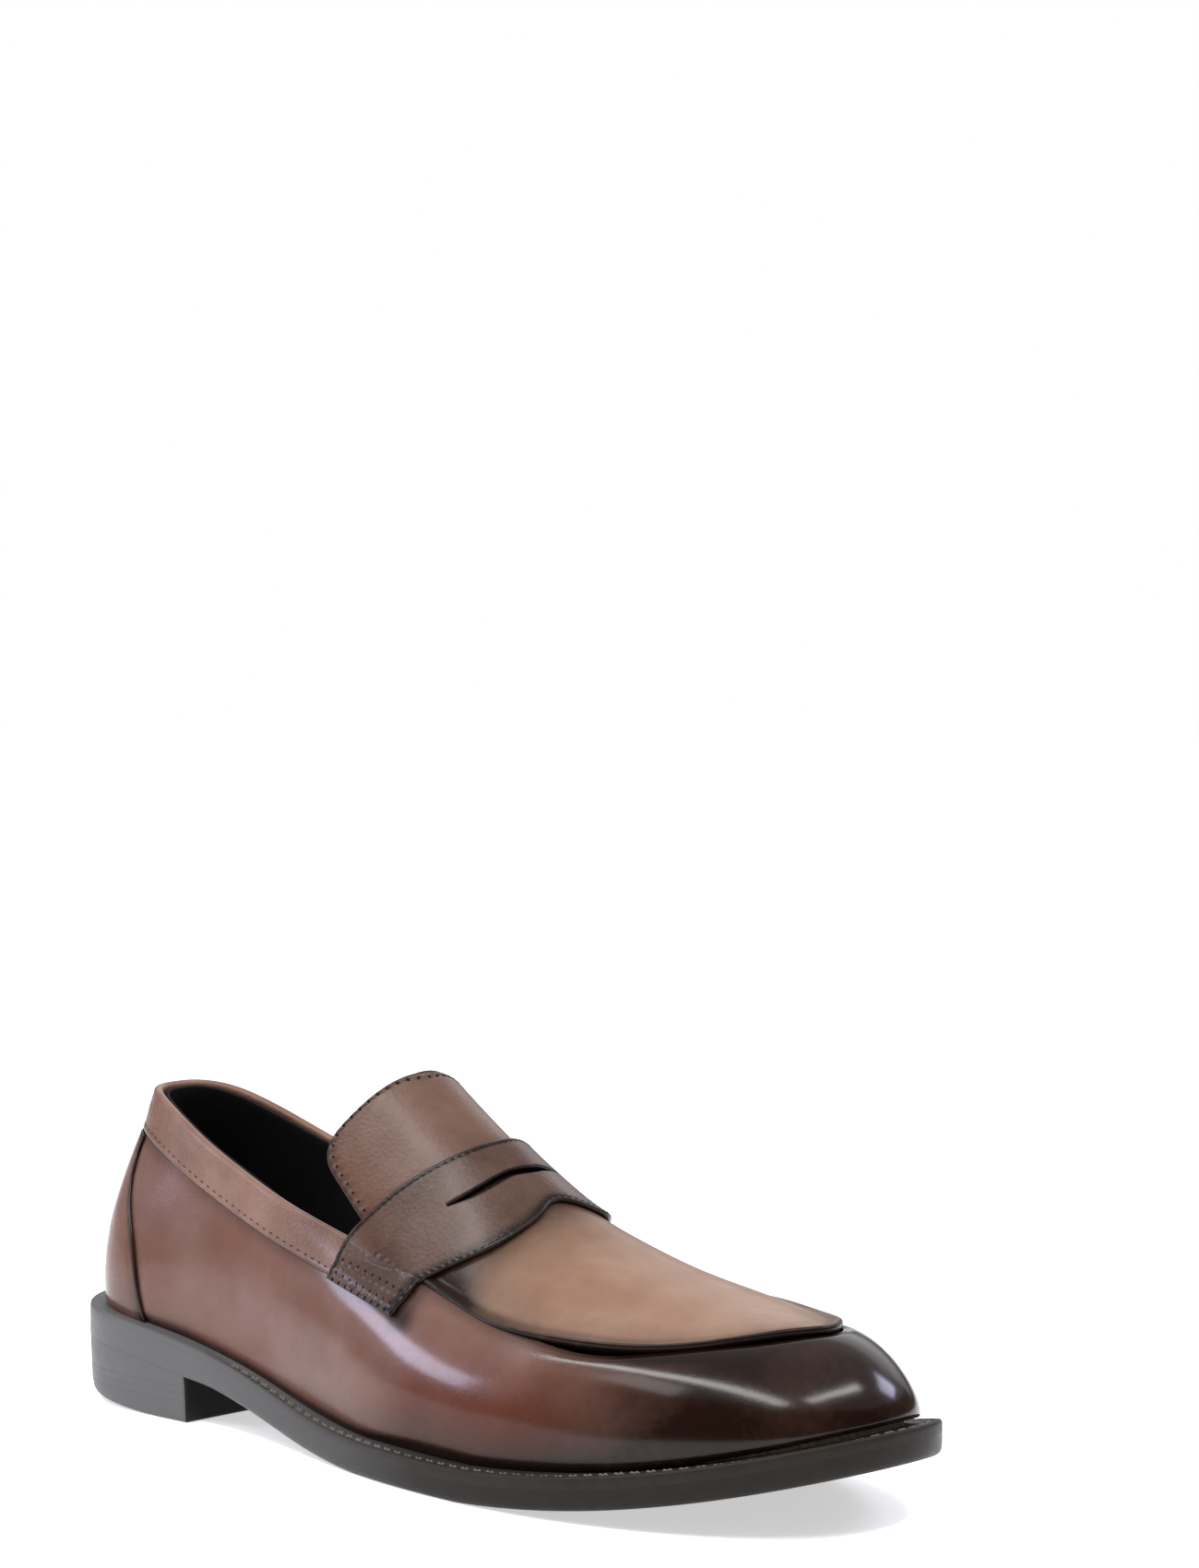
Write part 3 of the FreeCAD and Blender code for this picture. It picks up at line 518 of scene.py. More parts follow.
# the heel's layers take the dark colour ahead of BREAST_EDGE, on the front face: painted shade
stack_leather = plain("stack_leather", BREAST_SHADE, 0.46, variation=0.06, size=0.012,
                      behind=(HEEL_GREY, BREAST_EDGE, BREAST_EDGE + 0.0002))
top_piece_rubber = plain("top_piece_rubber", BREAST_SHADE, 0.48, variation=0.06, size=0.012,
                         behind=(HEEL_GREY, BREAST_EDGE, BREAST_EDGE + 0.0002))
welt_thread = plain("welt_thread", (0.150, 0.128, 0.108), 0.6, size=0.0008, depth=0.0001)
# dark dots for needle holes: painted shade in the holes
needle_hole_shade = plain("needle_hole_shade", (0.006, 0.004, 0.003), 0.8, size=0.0008)
dark_thread = plain("dark_thread", (0.010, 0.006, 0.005), 0.6, size=0.0008, depth=0.0001)


# ---------------------------------------------------------------- meshes

def place(points):
    """From last coordinates to the frame, in metres."""
    return (np.asarray(points).reshape(-1, 3) - (LENGTH / 2, 0, 0)) * MM


def add_object(name, data):
    """New object in the scene."""
    made = bpy.data.objects.new(name, data)
    bpy.context.scene.collection.objects.link(made)
    return made


def piece(name, points, faces, material, nodes=(), attributes=None, weld=0.0, fill=False):
    """A closed piece of the shoe, in place of CAD nodes."""
    mesh = bpy.data.meshes.new(name)
    mesh.from_pydata(place(points).tolist(), [], faces)
    for key, values in (attributes or {}).items():
        layer = mesh.attributes.new(key, "FLOAT", "POINT")
        layer.data.foreach_set("value", np.clip(values, 0, 1).astype(np.float32).ravel())
    work = bmesh.new()
    work.from_mesh(mesh)
    if weld:
        bmesh.ops.remove_doubles(work, verts=work.verts, dist=weld * MM)
    if fill:
        bmesh.ops.holes_fill(work, edges=[e for e in work.edges if e.is_boundary], sides=4)
    bmesh.ops.recalc_face_normals(work, faces=work.faces)
    work.to_mesh(mesh)
    work.free()
    mesh.polygons.foreach_set("use_smooth", [True] * len(mesh.polygons))
    mesh.materials.append(material)
    made = add_object(name, mesh)
    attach(made, "root")
    if nodes:
        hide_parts(*nodes)
    return made


def quads(index):
    """Faces of a grid of vertex numbers."""
    corners = (index[:-1, :-1], index[1:, :-1], index[1:, 1:], index[:-1, 1:])
    return np.stack([c.ravel() for c in corners], -1).tolist()


EDGE_RINGS = np.array([0, 0.07, 0.25, 0.55, 1.0])     # rings of a rounded edge, as shares of its radius


def ladder(length, count, radius):
    """Distances along a line: rings near its ends, even steps between."""
    start = radius * EDGE_RINGS
    middle = np.linspace(start[-1], length - start[-1], count + 1)[1:-1]
    return np.concatenate([start, middle, length - start[::-1]])


class Sheet:
    """Grid over a patch of a surface, spaced by length, with each point's distance to the
    patch's borders. patch turns shares a and b into the surface's own coordinates."""

    def __init__(self, surface, patch, rows, columns, radius=0.8, rounded=(1, 1, 1, 1), measure=0.5,
                 stops=()):
        share = np.linspace(0, 1, 400)
        length = run_lengths(surface(*patch(share, np.full(400, measure))))
        along = ladder(length[-1], rows, radius)
        a = np.interp(along, length, share)
        for stop in stops:
            a[np.argmin(abs(a - stop))] = stop
        fine = np.linspace(0, 1, 60)
        across = run_lengths(surface(*patch(a[:, None], fine[None, :])))
        side = np.array([ladder(line[-1], columns, radius) for line in across])
        b = np.array([np.interp(d, line, fine) for d, line in zip(side, across)])
        self.a = np.repeat(a[:, None], b.shape[1], 1)
        self.b = b
        self.along = np.repeat(along[:, None], b.shape[1], 1)
        self.along_back = along[-1] - self.along
        self.side = side
        self.side_back = across[:, -1:] - side
        self.radius = radius
        self.surface = surface
        self.p, self.q = patch(self.a, self.b)
        self.point = surface(self.p, self.q)
        distances = []
        for flag, distance in zip(rounded, (self.along, self.along_back, self.side, self.side_back)):
            if callable(flag):
                distances.append(np.where(flag(self.a), distance, 1e3))
            elif flag:
                distances.append(distance)
        self.edge = np.min(distances, axis=0)

    def shell(self, outer, inner, paint, first=0):
        """Points, faces and attributes of the closed leather between two stand-offs."""
        round_off = np.sqrt(1 - (1 - np.clip(self.edge / self.radius, 0, 1)) ** 2)
        middle = (outer + inner) / 2
        skin = on_surface(self.surface, self.p, self.q, middle + (outer - middle) * round_off)
        back = on_surface(self.surface, self.p, self.q, middle + (inner - middle) * round_off)
        count = self.edge.size
        numbers = np.arange(count).reshape(self.edge.shape)
        own = self.edge > 1e-6
        under = numbers.copy()
        under[own] = count + np.arange(own.sum())
        faces = quads(numbers + first) + quads(under[:, ::-1] + first)
        points = np.vstack([skin.reshape(-1, 3), back[own]])
        attributes = {}
        for key, value in paint.items():
            value = np.broadcast_to(value, self.edge.shape)
            attributes[key] = np.concatenate([value.ravel(), value[own]])
        return points, faces, attributes


def sheet_piece(name, sheets, material, nodes, weld=0.0, fill=False):
    """One piece from one or more (sheet, outer, inner, paint) parts."""
    points, faces, attributes = [], [], {}
    for sheet, outer, inner, paint in sheets:
        first = sum(len(p) for p in points)
        new_points, new_faces, new_attributes = sheet.shell(outer, inner, paint, first)
        points.append(new_points)
        faces += new_faces
        for key, value in new_attributes.items():
            attributes.setdefault(key, []).append(value)
    attributes = {key: np.concatenate(values) for key, values in attributes.items()}
    return piece(name, np.vstack(points), faces, material, nodes, attributes, weld, fill)


def bump_at(distance, reach):
    """1 at a distance of 0, falling off over a reach."""
    return np.exp(-(distance / reach) ** 2)


def puckers(along, distance, pitch, depth=0.22, reach=1.5):
    """Small pulls that a row of stitches makes in the leather."""
    return -depth * bump_at(distance, reach) * (0.55 + 0.45 * np.cos(2 * np.pi * along / pitch))


# ---------------------------------------------------------------- upper

def wall_patch(start, end, low, high):
    """Band of the wall from t = start to end between two heights, functions of t."""
    fine = np.linspace(0, 1, 160)
    t = start + (end - start) * fine
    low_line, high_line = low(t), high(t)

    def patch(a, b):
        v0, v1 = np.interp(a, fine, low_line), np.interp(a, fine, high_line)
        return start + (end - start) * a, v0 + (v1 - v0) * b

    return patch


def level(v):
    return lambda t: np.full(np.shape(t), float(v))


SEAM_GAP = 0.003
backstay_half = graph((0.0, .106), (.2, .101), (.4, .090), (.6, .073), (.75, .069))
BACKSTAY_SHADE = (0.2 / 640, 2.4 / 640)   # the shade beside the backstay, in t: about 2 mm
COLLAR_END = 134
COLLAR_LAP = 5.0
COLLAR_ROW = 2.2                  # stitches above the collar band's lower edge
# The apron ends at station 167, where the tongue begins, well under the strap. The CAD pieces
# meet at 171, close to the strap's front edge.
SEAM_POINTS = [(167, -29), (181, -32), (192, -34.5), (212, -35.5), (234, -32), (253, -21), (265, -5),
               (270, 6), (266, 17), (255, 29), (237, 37), (214, 41), (192, 41), (181, 39), (167, 35)]
lateral_end, medial_end = station(wall_top, COLLAR_END, 1), station(wall_top, COLLAR_END, -1)


def collar_foot(t):
    return below_top(t, COLLAR_WIDTH)


def vamp_lap(x):
    """How far below the topline the vamp ends: under the collar band at the back, at the apron
    seam in front."""
    return (COLLAR_WIDTH - COLLAR_LAP) * fade(x, 118, COLLAR_END)


def vamp_top(t):
    return below_top(t, vamp_lap(wall_top(t)[..., 0]))


def vamp():
    sheet = Sheet(wall, wall_patch(SEAM_GAP, 1 - SEAM_GAP, level(-0.02), vamp_top), 420, 60)
    x, z = sheet.point[..., 0], sheet.point[..., 2]
    front = ramp(x, 150, 172)
    groove = 0.55 * front * fade(sheet.side_back, 0.5, 3.5)
    tuck = 0.5 * fade(sheet.side, 0, 1.6)
    toe = ramp(x, 198, 262)
    low = fade(sheet.side, 1, 17) * ramp(x, 110, 150)
    # painted shade in the corner of the upper just above the welt
    welt_corner_shade = fade(sheet.side, 2.0, 4.5)
    # a lighter band above the welt at the back: painted reflection of the pale floor
    floor_reflection = bump_at(sheet.side - 9.5, 4.0) * fade(x, 110, 145)
    past_backstay = np.minimum(sheet.p, 1 - sheet.p) - backstay_half(sheet.q)
    heel = fade(x, 8, 40) * fade(z, 20, 55)
    # seam: darker band on the vamp below the apron's raised edge, painted shade under it
    seam = front * fade(sheet.side_back, 1.0, 8.0)
    forepart = ramp(x, 140, 170) * fade(x, 205, 245) * fade(z, 18, 44)
    # painted shadow beside the front of the strap's tab, on the vamp
    tab_shadow = ramp(x, 149, 153) * fade(x, 157, 163) * ramp(z, 37, 42)
    below_collar = (1 - front) * fade(abs(sheet.side_back - (COLLAR_WIDTH - vamp_lap(x))), 0, 5)
    burnish_and_shade = 0.05 + 0.92 * toe + 0.30 * low + 0.15 * heel + 0.45 * seam + 0.36 * forepart
    burnish_and_shade = burnish_and_shade + 0.75 * welt_corner_shade - 0.14 * floor_reflection + 0.5 * fade(past_backstay, *BACKSTAY_SHADE)
    burnish_and_shade = burnish_and_shade + 0.6 * tab_shadow + 0.28 * below_collar
    paint = {"burnish_and_shade": burnish_and_shade, "warm": 0.9 * forepart, "polish": 0.15 + 0.75 * ramp(x, 185, 245)}
    sheet_piece("vamp_leather", [(sheet, -groove - tuck, -UPPER, paint)], burnished,
                ["vamp"])


def collar():
    sheet = Sheet(wall, wall_patch(medial_end, lateral_end, collar_foot, level(1.0)), 300, 22, 1.1)
    outer = 0.75 + (COLLAR - 0.75) * ramp(sheet.side, 1.5, 8) + GAP
    front = ramp(sheet.point[..., 0], 80, 120)
    outer = outer + puckers(sheet.along, sheet.side - COLLAR_ROW, 3.2, 0.05 + 0.06 * front, 0.9)
    seam = fade(sheet.side, 0.2, 1.4)
    # topline: lighter along the band's top edge, a painted highlight on its fold
    topline = fade(sheet.side_back, 0.4, 1.8)
    paint = {"burnish_and_shade": 0.18 + 0.20 * front + (0.35 + 0.25 * front) * seam - 0.12 * topline, "polish": 0.25}
    sheet_piece("collar_band", [(sheet, outer, -1.5, paint)], collar_leather,
                ["collar"])


def backstay():
    top = float(collar_foot(0.0))

    def patch(a, b):
        v = -0.01 + (top + 0.01) * b
        return backstay_half(v) * (2 * a - 1), v

    sheet = Sheet(wall, patch, 60, 60)
    side_edge = np.minimum(sheet.along, sheet.along_back)
    low = fade(sheet.side, 1, 20)
    burnish_and_shade = 0.05 + 0.85 * fade(side_edge, 0.6, 3.0) + 0.3 * low + 0.45 * ramp(sheet.b, 0.84, 1.0)
    outer = 0.9 - 0.25 * bump_at(side_edge - 2.4, 0.5)
    paint = {"burnish_and_shade": burnish_and_shade, "polish": 0.3}
    sheet_piece("backstay_leather", [(sheet, outer, GAP, paint)], burnished,
                ["backstay"])


class Fan:
    """Patch of the instep between a U-shaped border and the middle line between its sides."""

    def __init__(self, border, pull=0.86):
        self.border = Spline(border)
        self.tip = self.border.knots[len(border) // 2]
        self.foot = border[0][0]
        self.pull = pull

    def rim(self, t):
        """Border point, t from 0 to 1 with the tip at 0.5."""
        return self.border(np.where(t < 0.5, 2 * t * self.tip, self.tip + (2 * t - 1) * (1 - self.tip)))

    def __call__(self, t, b):
        t, b = np.broadcast_arrays(np.asarray(t, float), np.asarray(b, float))
        rim = self.rim(t)
        middle = (rim + self.rim(1 - t)) / 2
        middle[..., 0] = self.foot + (middle[..., 0] - self.foot) * self.pull
        point = rim + (middle - rim) * b[..., None]
        return point[..., 0], point[..., 1]


FAN_BORDERS = (1, 1, 1, 0)


def apron():
    sheet = Sheet(instep, Fan(SEAM_POINTS), 420, 44, 1.0, FAN_BORDERS, measure=0.0, stops=(0.5,))
    side = sheet.side
    lip = 1.15 * fade(side, 1.0, 3.6) - 0.12 * bump_at(side - 4.2, 0.8)
    edge = 0.45 * fade(side, 0.4, 1.3) + 0.42 * fade(side, 3.0, 5.6)
    edge = edge + 0.20 * fade(side, 5, 15)
    # rear: darker towards the strap; its nearer part is painted shadow of the strap's front edge
    rear = 0.25 * fade(sheet.p, 182, 210) + 0.55 * fade(sheet.p, 175, 188)
    paint = {"burnish_and_shade": edge + rear, "polish": 0.30}
    outer = APRON_LIFT + lip
    sheet_piece("apron_leather_piece", [(sheet, outer, APRON_LIFT - UPPER, paint)], apron_leather,
                ["apron"], weld=0.004)


TONGUE_BORDER = [(167, -28.5), (152, -28.5), (136, -27.3), (129.3, -26.2), (126.5, -23.8), (125.5, -19.5),
                 (125.0, -11), (126.0, -1), (127.4, 9), (128.6, 19), (130.2, 27), (133.5, 31.5),
                 (139, 33.8), (152, 34.3), (167, 32)]
TONGUE_ROW = 2.3


def tongue():
    sheet = Sheet(instep, Fan(TONGUE_BORDER), 460, 40, 0.8, FAN_BORDERS, measure=0.0, stops=(0.5,))
    side = sheet.side
    outer = puckers(sheet.along, side - TONGUE_ROW, 3.2, 0.34, 1.5) + 0.12 * bump_at(side - 0.9, 0.7)
    a, b = sheet.p, sheet.q
    # slit: painted shade on the tongue where it shows through the strap's slit
    slit = bump_at((a - 165.5) / 7, 1) * fade(abs(b - 2), 22, 28)
    edge = 0.75 * fade(side, 0.3, 1.2) + 0.16 * bump_at(side - TONGUE_ROW, 1.2)
    # foot: the tongue painted dark under the strap, as the strap's shade
    foot = ramp(a, 151, 155)
    paint = {"burnish_and_shade": 0.47 + edge + 0.9 * np.maximum(slit, foot), "polish": 0.25}
    sheet_piece("tongue_leather", [(sheet, outer, -UPPER, paint)], collar_leather,
                ["tongue"], weld=0.004)


STRAP_END_ROWS = (1.6, 6.2, 13.5)         # pulls of the rows across the strap, from its end
STRAP_EDGE_ROW = 1.35                     # rows along its rear and front edge, from the edge


def saddle_strap():
    def slitted(a):
        return (a > SLIT_START + 1e-6) & (a < SLIT_END - 1e-6)

    def opening(a):
        return slit_width(a) * slitted(a)

    def rear_patch(a, b):
        return slit_rear(np.clip(a, SLIT_START, SLIT_END)) * b, a

    def front_patch(a, b):
        start = slit_rear(np.clip(a, SLIT_START, SLIT_END)) + opening(a)
        return 1 + (start - 1) * b, a

    parts = []
    for patch in (rear_patch, front_patch):
        sheet = Sheet(strap, patch, 420, 30, 0.75, (1, 1, 1, slitted), 0.0, (SLIT_START, SLIT_END))
        end = np.minimum(sheet.along, sheet.along_back)
        outer = np.zeros(sheet.edge.shape)
        for row in STRAP_END_ROWS:
            outer = outer + puckers(sheet.side, end - row, 3.0, 0.26, 0.9)
        outer = outer + puckers(sheet.along, sheet.side - STRAP_EDGE_ROW, 2.2, 0.12, 0.5)
        tab = fade(end, 11.0, 21.0)
        edge = 0.7 * fade(sheet.edge, 0.2, 0.9) + 0.45 * bump_at(sheet.side - STRAP_EDGE_ROW, 0.5)
        front = 0.35 * fade(1 - sheet.p, 1 / 48, 1 / 6)
        paint = {"burnish_and_shade": 0.68 + 0.07 * tab + edge + front, "polish": 0.3}
        parts.append((sheet, outer, -STRAP, paint))
    sheet_piece("strap_leather", parts, collar_leather, ["saddle_strap"], weld=0.004,
                fill=True)


def linings():
    """Linings of the quarters and the vamp, against the stiffeners where there are some."""
    lateral, medial = station(wall_top, 140, 1), station(wall_top, 140, -1)
    for name, start, end in (("quarter_lining", medial, lateral),
                             ("vamp_lining", lateral + 0.002, 1 + medial - 0.002)):
        sheet = Sheet(wall, wall_patch(start, end, level(0.02), level(0.984)), 200, 30, 0.45)
        x = outline(sheet.p)[..., 0]
        stiff = fade(x, 84, 104) + ramp(x, 222, 240)
        outer = -UPPER - GAP - (STIFFENER + GAP) * stiff
        sheet_piece(name + "_leather", [(sheet, outer, outer - LINING, {})], black_lining,
                    [name])


vamp()
collar()
backstay()
apron()
tongue()
saddle_strap()
linings()


# ---------------------------------------------------------------- sole

def closed_loft(name, rings, material, nodes, hollow=False, caps=14):
    """Closed body through rings of points, with fans of rings as end caps, or joined last to
    first where it is hollow."""
    if not hollow:
        first, last = rings[0], rings[-1]
        shares = np.linspace(0, 1, caps + 1)[1:]
        start = [cap_ring(first, share) for share in shares[::-1]]
        end = [cap_ring(last, share) for share in shares]
        rings = start + rings + end
    points = np.array(rings)
    index = np.arange(points.shape[0] * points.shape[1]).reshape(points.shape[:2])
    index = np.concatenate([index, index[:, :1]], 1)
    if hollow:
        index = np.concatenate([index, index[:1]], 0)
    return piece(name, points, quads(index), material, nodes, weld=0.002)


def cap_ring(ring, share):
    """Ring drawn in towards the middle of its outline, following its own heights in x."""
    centre = (ring.max(0) + ring.min(0))[:2] / 2
    inner = ring.copy()
    inner[:, :2] = ring[:, :2] + (centre - ring[:, :2]) * share
    order = np.argsort(ring[:, 0])
    inner[:, 2] = np.interp(inner[:, 0], ring[order, 0], ring[order, 2])
    return inner


AROUND = np.linspace(0, 1, 400, endpoint=False)


def sole_ring(inset, height):
    """Ring round the sole at an inset and a height above the outsole's underside."""
    x = outline(AROUND)[:, 0]
    xy = inset_outline(AROUND, inset(x) if callable(inset) else inset)
    return joined(xy, sole_bottom(xy[:, 0]) + (height(xy[:, 0]) if callable(height) else height))


def outsole():
    """The edge below is rounded in front of the heel block."""
    section = [(2.4, 0.0), (1.1, 0.15), (0.35, 0.7), (0.05, 1.7), (0.0, 3.2), (0.0, 5.76), (0.0, 5.8)]
    rings = [sole_ring(lambda x: inset * ramp(x, HEEL, HEEL + 12), height) for inset, height in section]
    closed_loft("outsole_rubber", rings, sole_rubber, ["outsole"])


def welt():
    """Ring with a rounded rim lip and the channel that the stitches lie in, which fades out
    towards the heel."""
    section = [(15.0, 5.8), (0.0, 5.8), (0.0, 5.84), (0.0, 6.8), (0.0, 8.0), (0.15, 8.75), (0.6, 9.2),
               (1.1, 9.3), (1.6, 9.2), (2.0, 8.85), (2.3, 8.4), (3.3, 8.25), (4.2, 8.35), (4.6, 8.8),
               (5.2, 9.25), (15.0, 9.3)]
    rings = []
    for inset, height in section:
        filled = height if inset < 1.2 else SIDE - 0.25 * bump_at(inset - 4.8, 1.0)
        rings.append(sole_ring(inset, lambda x: filled + (height - filled) * ramp(x, 66, 90)))
    closed_loft("welt_rim", rings, welt_rubber, ["welt"], hollow=True)


def heel_ring(inset, height):
    """Ring round the heel block: the sole's outline closed by a straight breast."""
    lateral, medial = station(outline, HEEL, 1), station(outline, HEEL, -1)
    xy = inset_outline(np.linspace(medial, lateral, 150), inset)
    xy[:, 0] = np.minimum(xy[:, 0], HEEL - max(0.0, inset - 1.0))
    share = np.linspace(0, 1, 42)[1:-1, None]
    breast = xy[-1] + (xy[0] - xy[-1]) * share
    xy = np.vstack([xy, breast])
    return joined(xy, height(xy[:, 0]) if callable(height) else np.full(len(xy), float(height)))


def heel_underside(x):
    """Level, but rising a little at the back."""
    return ROLL_HEIGHT * np.maximum(0, 1 - x / HEEL_ROLL) ** 2


def heel_taper(height):
    """Inset of the heel block, which draws in a little towards the ground."""
    return 0.1 + 0.9 * (1 - height / 16)


def heel_layer(name, low, high, material, bottom=None, top=None, foot=0.03):
    """A layer of the heel block with rounded edges; bottom and top are its faces where they
    aren't level, foot the radius of its lower edge."""
    bottom = bottom or (lambda x: np.full(np.shape(x), float(low)))
    top = top or (lambda x: np.full(np.shape(x), float(high)))
    section = [(bottom, low, 0.0, foot), (bottom, low, 0.3 * foot, 0.3 * foot), (bottom, low, foot, 0.0),
               (top, high, -0.1, 0.0), (top, high, 0.0, 0.02)]
    rings = []
    for face, level_z, rise, extra in section:
        inset = heel_taper(level_z + rise) + extra
        rings.append(heel_ring(inset, lambda x: face(x) + rise))
    closed_loft(name + "_block", rings, material, [name])


def sock_liner():
    def inset(x):
        return ledge(x) + 4.4

    def bottom(x):
        return SIDE + INSOLE + GAP + PAD * fade(x, 85, 115)

    def shifted(more):
        return lambda x: inset(x) + more

    rings = [sole_ring(shifted(0.5), bottom), sole_ring(shifted(0.0), lambda x: bottom(x) + SOCK / 2),
             sole_ring(shifted(0.4), lambda x: bottom(x) + SOCK)]
    closed_loft("sock_liner_leather", rings, sock_leather, ["sock_liner"], caps=20)


def heel():
    lift_1, lift_2 = TOP_PIECE + LIFT, TOP_PIECE + 2 * LIFT
    heel_layer("heel_top_piece", 0, TOP_PIECE, top_piece_rubber,
               bottom=heel_underside, foot=0.9)
    heel_layer("heel_lift_1", TOP_PIECE, lift_1, stack_leather)
    heel_layer("heel_lift_2", lift_1, lift_2, stack_leather)
    heel_layer("heel_seat_lift", lift_2, SEAT_HEIGHT, stack_leather, top=sole_bottom)


outsole()
welt()
heel()
sock_liner()


# ---------------------------------------------------------------- stitching

def capsule(length, radius, strands):
    """Points and faces of one stitch along +X, of one strand or of several laid in a twist."""
    rings, around = 13, 8
    points, faces = [], []
    for strand in range(strands):
        first = len(points)
        for k in range(rings):
            share = -math.cos(math.pi * k / (rings - 1))
            swell = max(0.06, 1 - share ** 4) ** 0.5
            sink = -0.9 * radius * share ** 4
            turn = 2 * math.pi * (strand / strands + 0.55 * share)
            offset = 0.0 if strands == 1 else 0.52 * radius
            thick = radius * (1.0 if strands == 1 else 0.62) * swell
            centre = (share * length / 2, offset * math.cos(turn), sink + offset * math.sin(turn))
            for m in range(around):
                angle = 2 * math.pi * m / around
                across, up = thick * math.cos(angle), thick * math.sin(angle)
                points.append((centre[0], centre[1] + across, centre[2] + up))
        for k in range(rings - 1):
            for m in range(around):
                low, next_m = first + k * around, (m + 1) % around
                faces.append([low + m, low + next_m, low + around + next_m, low + around + m])
        faces.append([first + m for m in range(around)][::-1])
        faces.append([first + (rings - 1) * around + m for m in range(around)])
    return np.array(points), faces


def stitch_frames(surface, path, lift, pitch):
    """Places along a path on a surface with the directions along, across and out of it."""
    share = np.linspace(0, 1, 900)
    p, q = path(share)
    points = on_surface(surface, p, q, lift)
    above = on_surface(surface, p, q, lift + 1.0)
    length = run_lengths(points)
    count = max(2, int(length[-1] / pitch))
    goal = (np.arange(count) + 0.5) * length[-1] / count
    step = 0.4

    def at(distance, values):
        return np.stack([np.interp(distance, length, values[:, i]) for i in range(3)], -1)

    along = unit(at(goal + step, points) - at(goal - step, points))
    across = unit(np.cross(at(goal, above - points), along))
    return at(goal, points), np.stack([along, across, np.cross(along, across)], 1)


def copies(name, rows, template, template_faces, material, nodes):
    """One piece with a copy of a small body at every place of several rows."""
    points, faces = [], []
    for centre, axes in rows:
        for middle, axis in zip(centre, axes):
            first = len(points) * len(template)
            points.append(middle + template @ axis)
            faces += [[first + i for i in face] for face in template_faces]
    return piece(name, np.vstack(points), faces, material, nodes)


def stitching(name, rows, length, radius, strands, material, nodes):
    """Every stitch of several rows."""
    template, template_faces = capsule(length, radius, strands)
    return copies(name, rows, template, template_faces, material, nodes)


WELT_ROW = 3.3                    # inset of the welt's stitches from the rim
WELT_ROW_HEIGHT = 8.35            # about the floor of the channel, above the outsole's underside


def welt_line(t, q):
    """The welt's channel, as a surface round the sole; q is the inset past the stitches."""
    t, q = np.broadcast_arrays(np.asarray(t, float), np.asarray(q, float))
    xy = inset_outline(t, WELT_ROW + q)
    return joined(xy, sole_bottom(xy[..., 0]) + WELT_ROW_HEIGHT)


def dots(name, rows, radius, material, nodes):
    """Needle holes, as flattened dark dots: painted shade in the holes."""
    template, template_faces = capsule(2 * radius, radius, 1)
    return copies(name, rows, template * (1, 1, 0.45), template_faces, material, nodes)


def strap_row(distance, start, end, from_front):
    """Path along the strap at a distance from its rear or its front edge."""
    def path(share):
        a = start + (end - start) * share
        fine = np.linspace(0, 0.3, 40)
        b = 1 - fine if from_front else fine
        lengths = run_lengths(strap(b[None, :], a[:, None]))
        return np.array([np.interp(distance, line, b) for line in lengths]), a
    return path


def fan_row(fan, distance, start, end):
    """Path on a fan at a distance inside its rim, between two shares of the way round."""
    def path(share):
        t = start + (end - start) * share
        fine = np.linspace(0, 0.4, 60)
        lengths = run_lengths(instep(*fan(t[:, None], fine[None, :])))
        return fan(t, np.array([np.interp(distance, line, fine) for line in lengths]))
    return path


def across_strap(a):
    """Path across the strap at a place along it, short of both edges."""
    return lambda share: (0.05 + 0.90 * share, np.full(share.shape, a))


def all_stitching():
    first, last = station(outline, 80, 1), 1 + station(outline, 80, -1)
    welt_row = stitch_frames(welt_line, lambda s: (first + (last - first) * s, np.zeros(s.shape)), 0.35, 4.6)
    stitching("welt_stitches", [welt_row], 3.9, 0.62, 2, welt_thread, ["welt_stitching"])

    strap_length = run_lengths(strap(0.5, np.linspace(0, 1, 200)))[-1]
    rows = []
    # A fault left in: length lags behind a near the strap's ends, so the holes lie nearer the
    # end than their pulls do, at about 0.9, 3.3 and 7.7 mm.
    for row in STRAP_END_ROWS:
        for a in (row / strap_length, 1 - row / strap_length):
            rows.append(stitch_frames(strap, across_strap(a), -0.15, 3.0))
    dots("strap_end_holes", rows, 0.55, needle_hole_shade, ["strap_stitching"])
    rows = []
    for from_front in (False, True):
        rows.append(stitch_frames(strap, strap_row(STRAP_EDGE_ROW, 0.02, 0.98, from_front), -0.14, 2.2))
    stitching("strap_stitches", rows, 1.6, 0.28, 1, dark_thread, ["strap_stitching"])

    tongue_row = stitch_frames(instep, fan_row(Fan(TONGUE_BORDER), TONGUE_ROW, 0.06, 0.94), -0.18, 3.2)
    dots("tongue_stitches", [tongue_row], 0.55, needle_hole_shade, ["tongue_stitching"])

    def collar_row(share):
        t = medial_end + (lateral_end - medial_end) * (0.02 + 0.96 * share)
        return t, below_top(t, COLLAR_WIDTH - COLLAR_ROW)

    row = stitch_frames(wall, collar_row, 0.74, 3.2)
    stitching("collar_stitches", [row], 1.8, 0.2, 1, dark_thread, ["collar_stitching"])


all_stitching()


# ---------------------------------------------------------------- hidden CAD pieces

def finish_node(name, material):
    """Give a CAD node a material."""
    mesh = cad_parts[name].data
    mesh.materials.clear()
    mesh.materials.append(material)


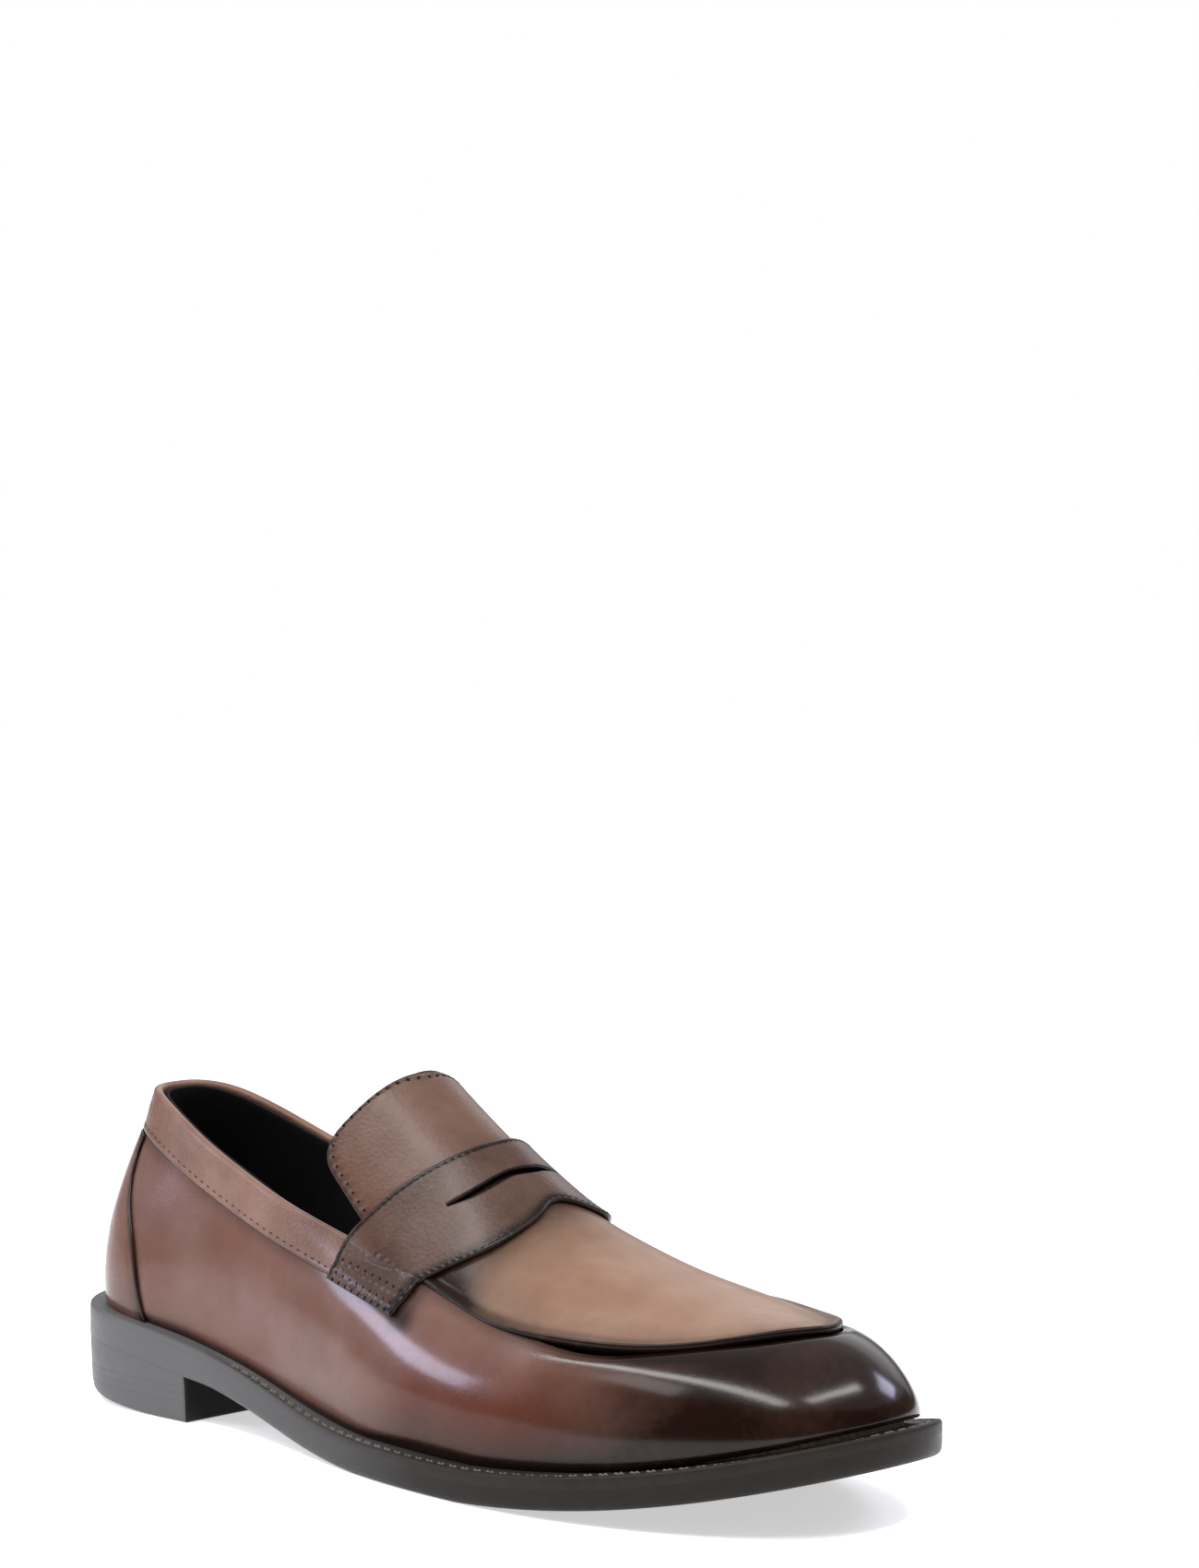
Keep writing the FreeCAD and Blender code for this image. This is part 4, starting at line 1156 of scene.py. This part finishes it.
fibre = plain("fibre_board", (0.40, 0.33, 0.24), 0.8, size=0.002)
cork = plain("cork", (0.45, 0.30, 0.17), 0.85, variation=0.4, size=0.0025, depth=0.0003)
steel = plain("shank_steel", (0.55, 0.55, 0.56), 0.35, variation=0.08, metal=1.0)
foam = plain("pad_foam", (0.75, 0.70, 0.55), 0.9, size=0.001)
stiffener = plain("stiffener_board", (0.45, 0.40, 0.32), 0.8, size=0.002)
for name, material in (("insole_board", fibre), ("cork_filler", cork), ("shank", steel),
                       ("heel_nails", steel), ("heel_pad", foam), ("toe_puff", stiffener),
                       ("heel_counter", stiffener),
                       ("apron_lining", black_lining), ("tongue_lining", black_lining)):
    finish_node(name, material)


# ---------------------------------------------------------------- floor, light and camera

def floor():
    mesh = bpy.data.meshes.new("floor")
    half = 6.0
    corners = [(-half, -half, 0), (half, -half, 0), (half, half, 0), (-half, half, 0)]
    mesh.from_pydata(corners, [], [(0, 1, 2, 3)])
    made = add_object("floor", mesh)
    material, tree, shader = surface_shader("floor_white")
    shader.inputs["Base Color"].default_value = (0.90, 0.90, 0.90, 1)
    shader.inputs["Roughness"].default_value = 0.8
    shader.inputs["Emission Color"].default_value = (1, 1, 1, 1)
    shader.inputs["Emission Strength"].default_value = 0.55
    mesh.materials.append(material)


def lamp(name, position, target, size, power, colour=(1, 1, 1)):
    """Rectangular soft box that faces a target."""
    light = bpy.data.lights.new(name, "AREA")
    light.shape = "RECTANGLE"
    light.size, light.size_y = size
    light.energy = power
    light.color = colour
    made = add_object(name, light)
    made.location = position
    made.rotation_euler = (Vector(target) - Vector(position)).to_track_quat("-Z", "Y").to_euler()


AZIMUTH, ELEVATION = math.radians(44.0), math.radians(9.93)
DISTANCE = 1.0874
TARGET = Vector((0, 0.0014, 0.045))
TILT, TURN = math.radians(7.55), math.radians(1.69)      # the shoe stands low and left of the view's middle
LENS = 87.8


def camera():
    back = Vector((math.sin(AZIMUTH) * math.cos(ELEVATION), -math.cos(AZIMUTH) * math.cos(ELEVATION),
                   math.sin(ELEVATION)))
    data = bpy.data.cameras.new("camera")
    data.sensor_width = 36
    data.lens = LENS
    made = add_object("camera", data)
    made.location = TARGET + back * DISTANCE
    look = (-back).to_track_quat("-Z", "Y").to_matrix()
    made.rotation_euler = (look @ Euler((TILT, -TURN, 0)).to_matrix()).to_euler()
    bpy.context.scene.camera = made


def overhead(strength, spread_angle):
    """Even light from above, so that the floor is as pale far off as it is near the shoe."""
    light = bpy.data.lights.new("overhead", "SUN")
    light.energy = strength
    light.angle = math.radians(spread_angle)
    made = add_object("overhead", light)
    made.rotation_euler = (math.radians(-14), math.radians(-12), 0)


def studio():
    """White backdrop, surroundings dim in reflections, even light from above and soft boxes."""
    world = bpy.data.worlds.new("studio")
    world.use_nodes = True
    tree = world.node_tree
    rays = tree.nodes.new("ShaderNodeLightPath")
    mirrored = spread(tree, rays.outputs["Is Glossy Ray"], 0.27, 0.10, 0.0, 1.0)
    strength = math_node(tree, "MAXIMUM", mirrored, rays.outputs["Is Camera Ray"])
    tree.links.new(strength, tree.nodes["Background"].inputs["Strength"])
    tree.nodes["Background"].inputs["Color"].default_value = (1, 1, 1, 1)
    bpy.context.scene.world = world
    overhead(1.25, 120)
    lamp("front_strip", (-0.05, -0.50, 1.0), (0, 0, 0.05), (1.30, 0.11), 9.0)
    lamp("end_strip", (0.62, 0.05, 1.0), (0.1, 0, 0.05), (0.80, 0.09), 4.4)
    lamp("key", (-0.25, -0.85, 1.0), (0, 0, 0.05), (0.50, 0.30), 2.2)
    lamp("window", (-1.2, -0.85, 0.48), (0, 0, 0.05), (0.36, 0.24), 6.4, (0.74, 0.75, 1.0))
    lamp("tip_light", (0.56, 1.04, 0.87), (0.14, 0, 0.03), (0.40, 0.36), 6.0, (0.74, 0.75, 1.0))
    lamp("backdrop", (-0.60, 1.20, 0.60), (0, 0, 0.05), (1.6, 0.8), 2.5)
    bpy.context.scene.view_settings.view_transform = "Standard"


floor()
studio()
camera()
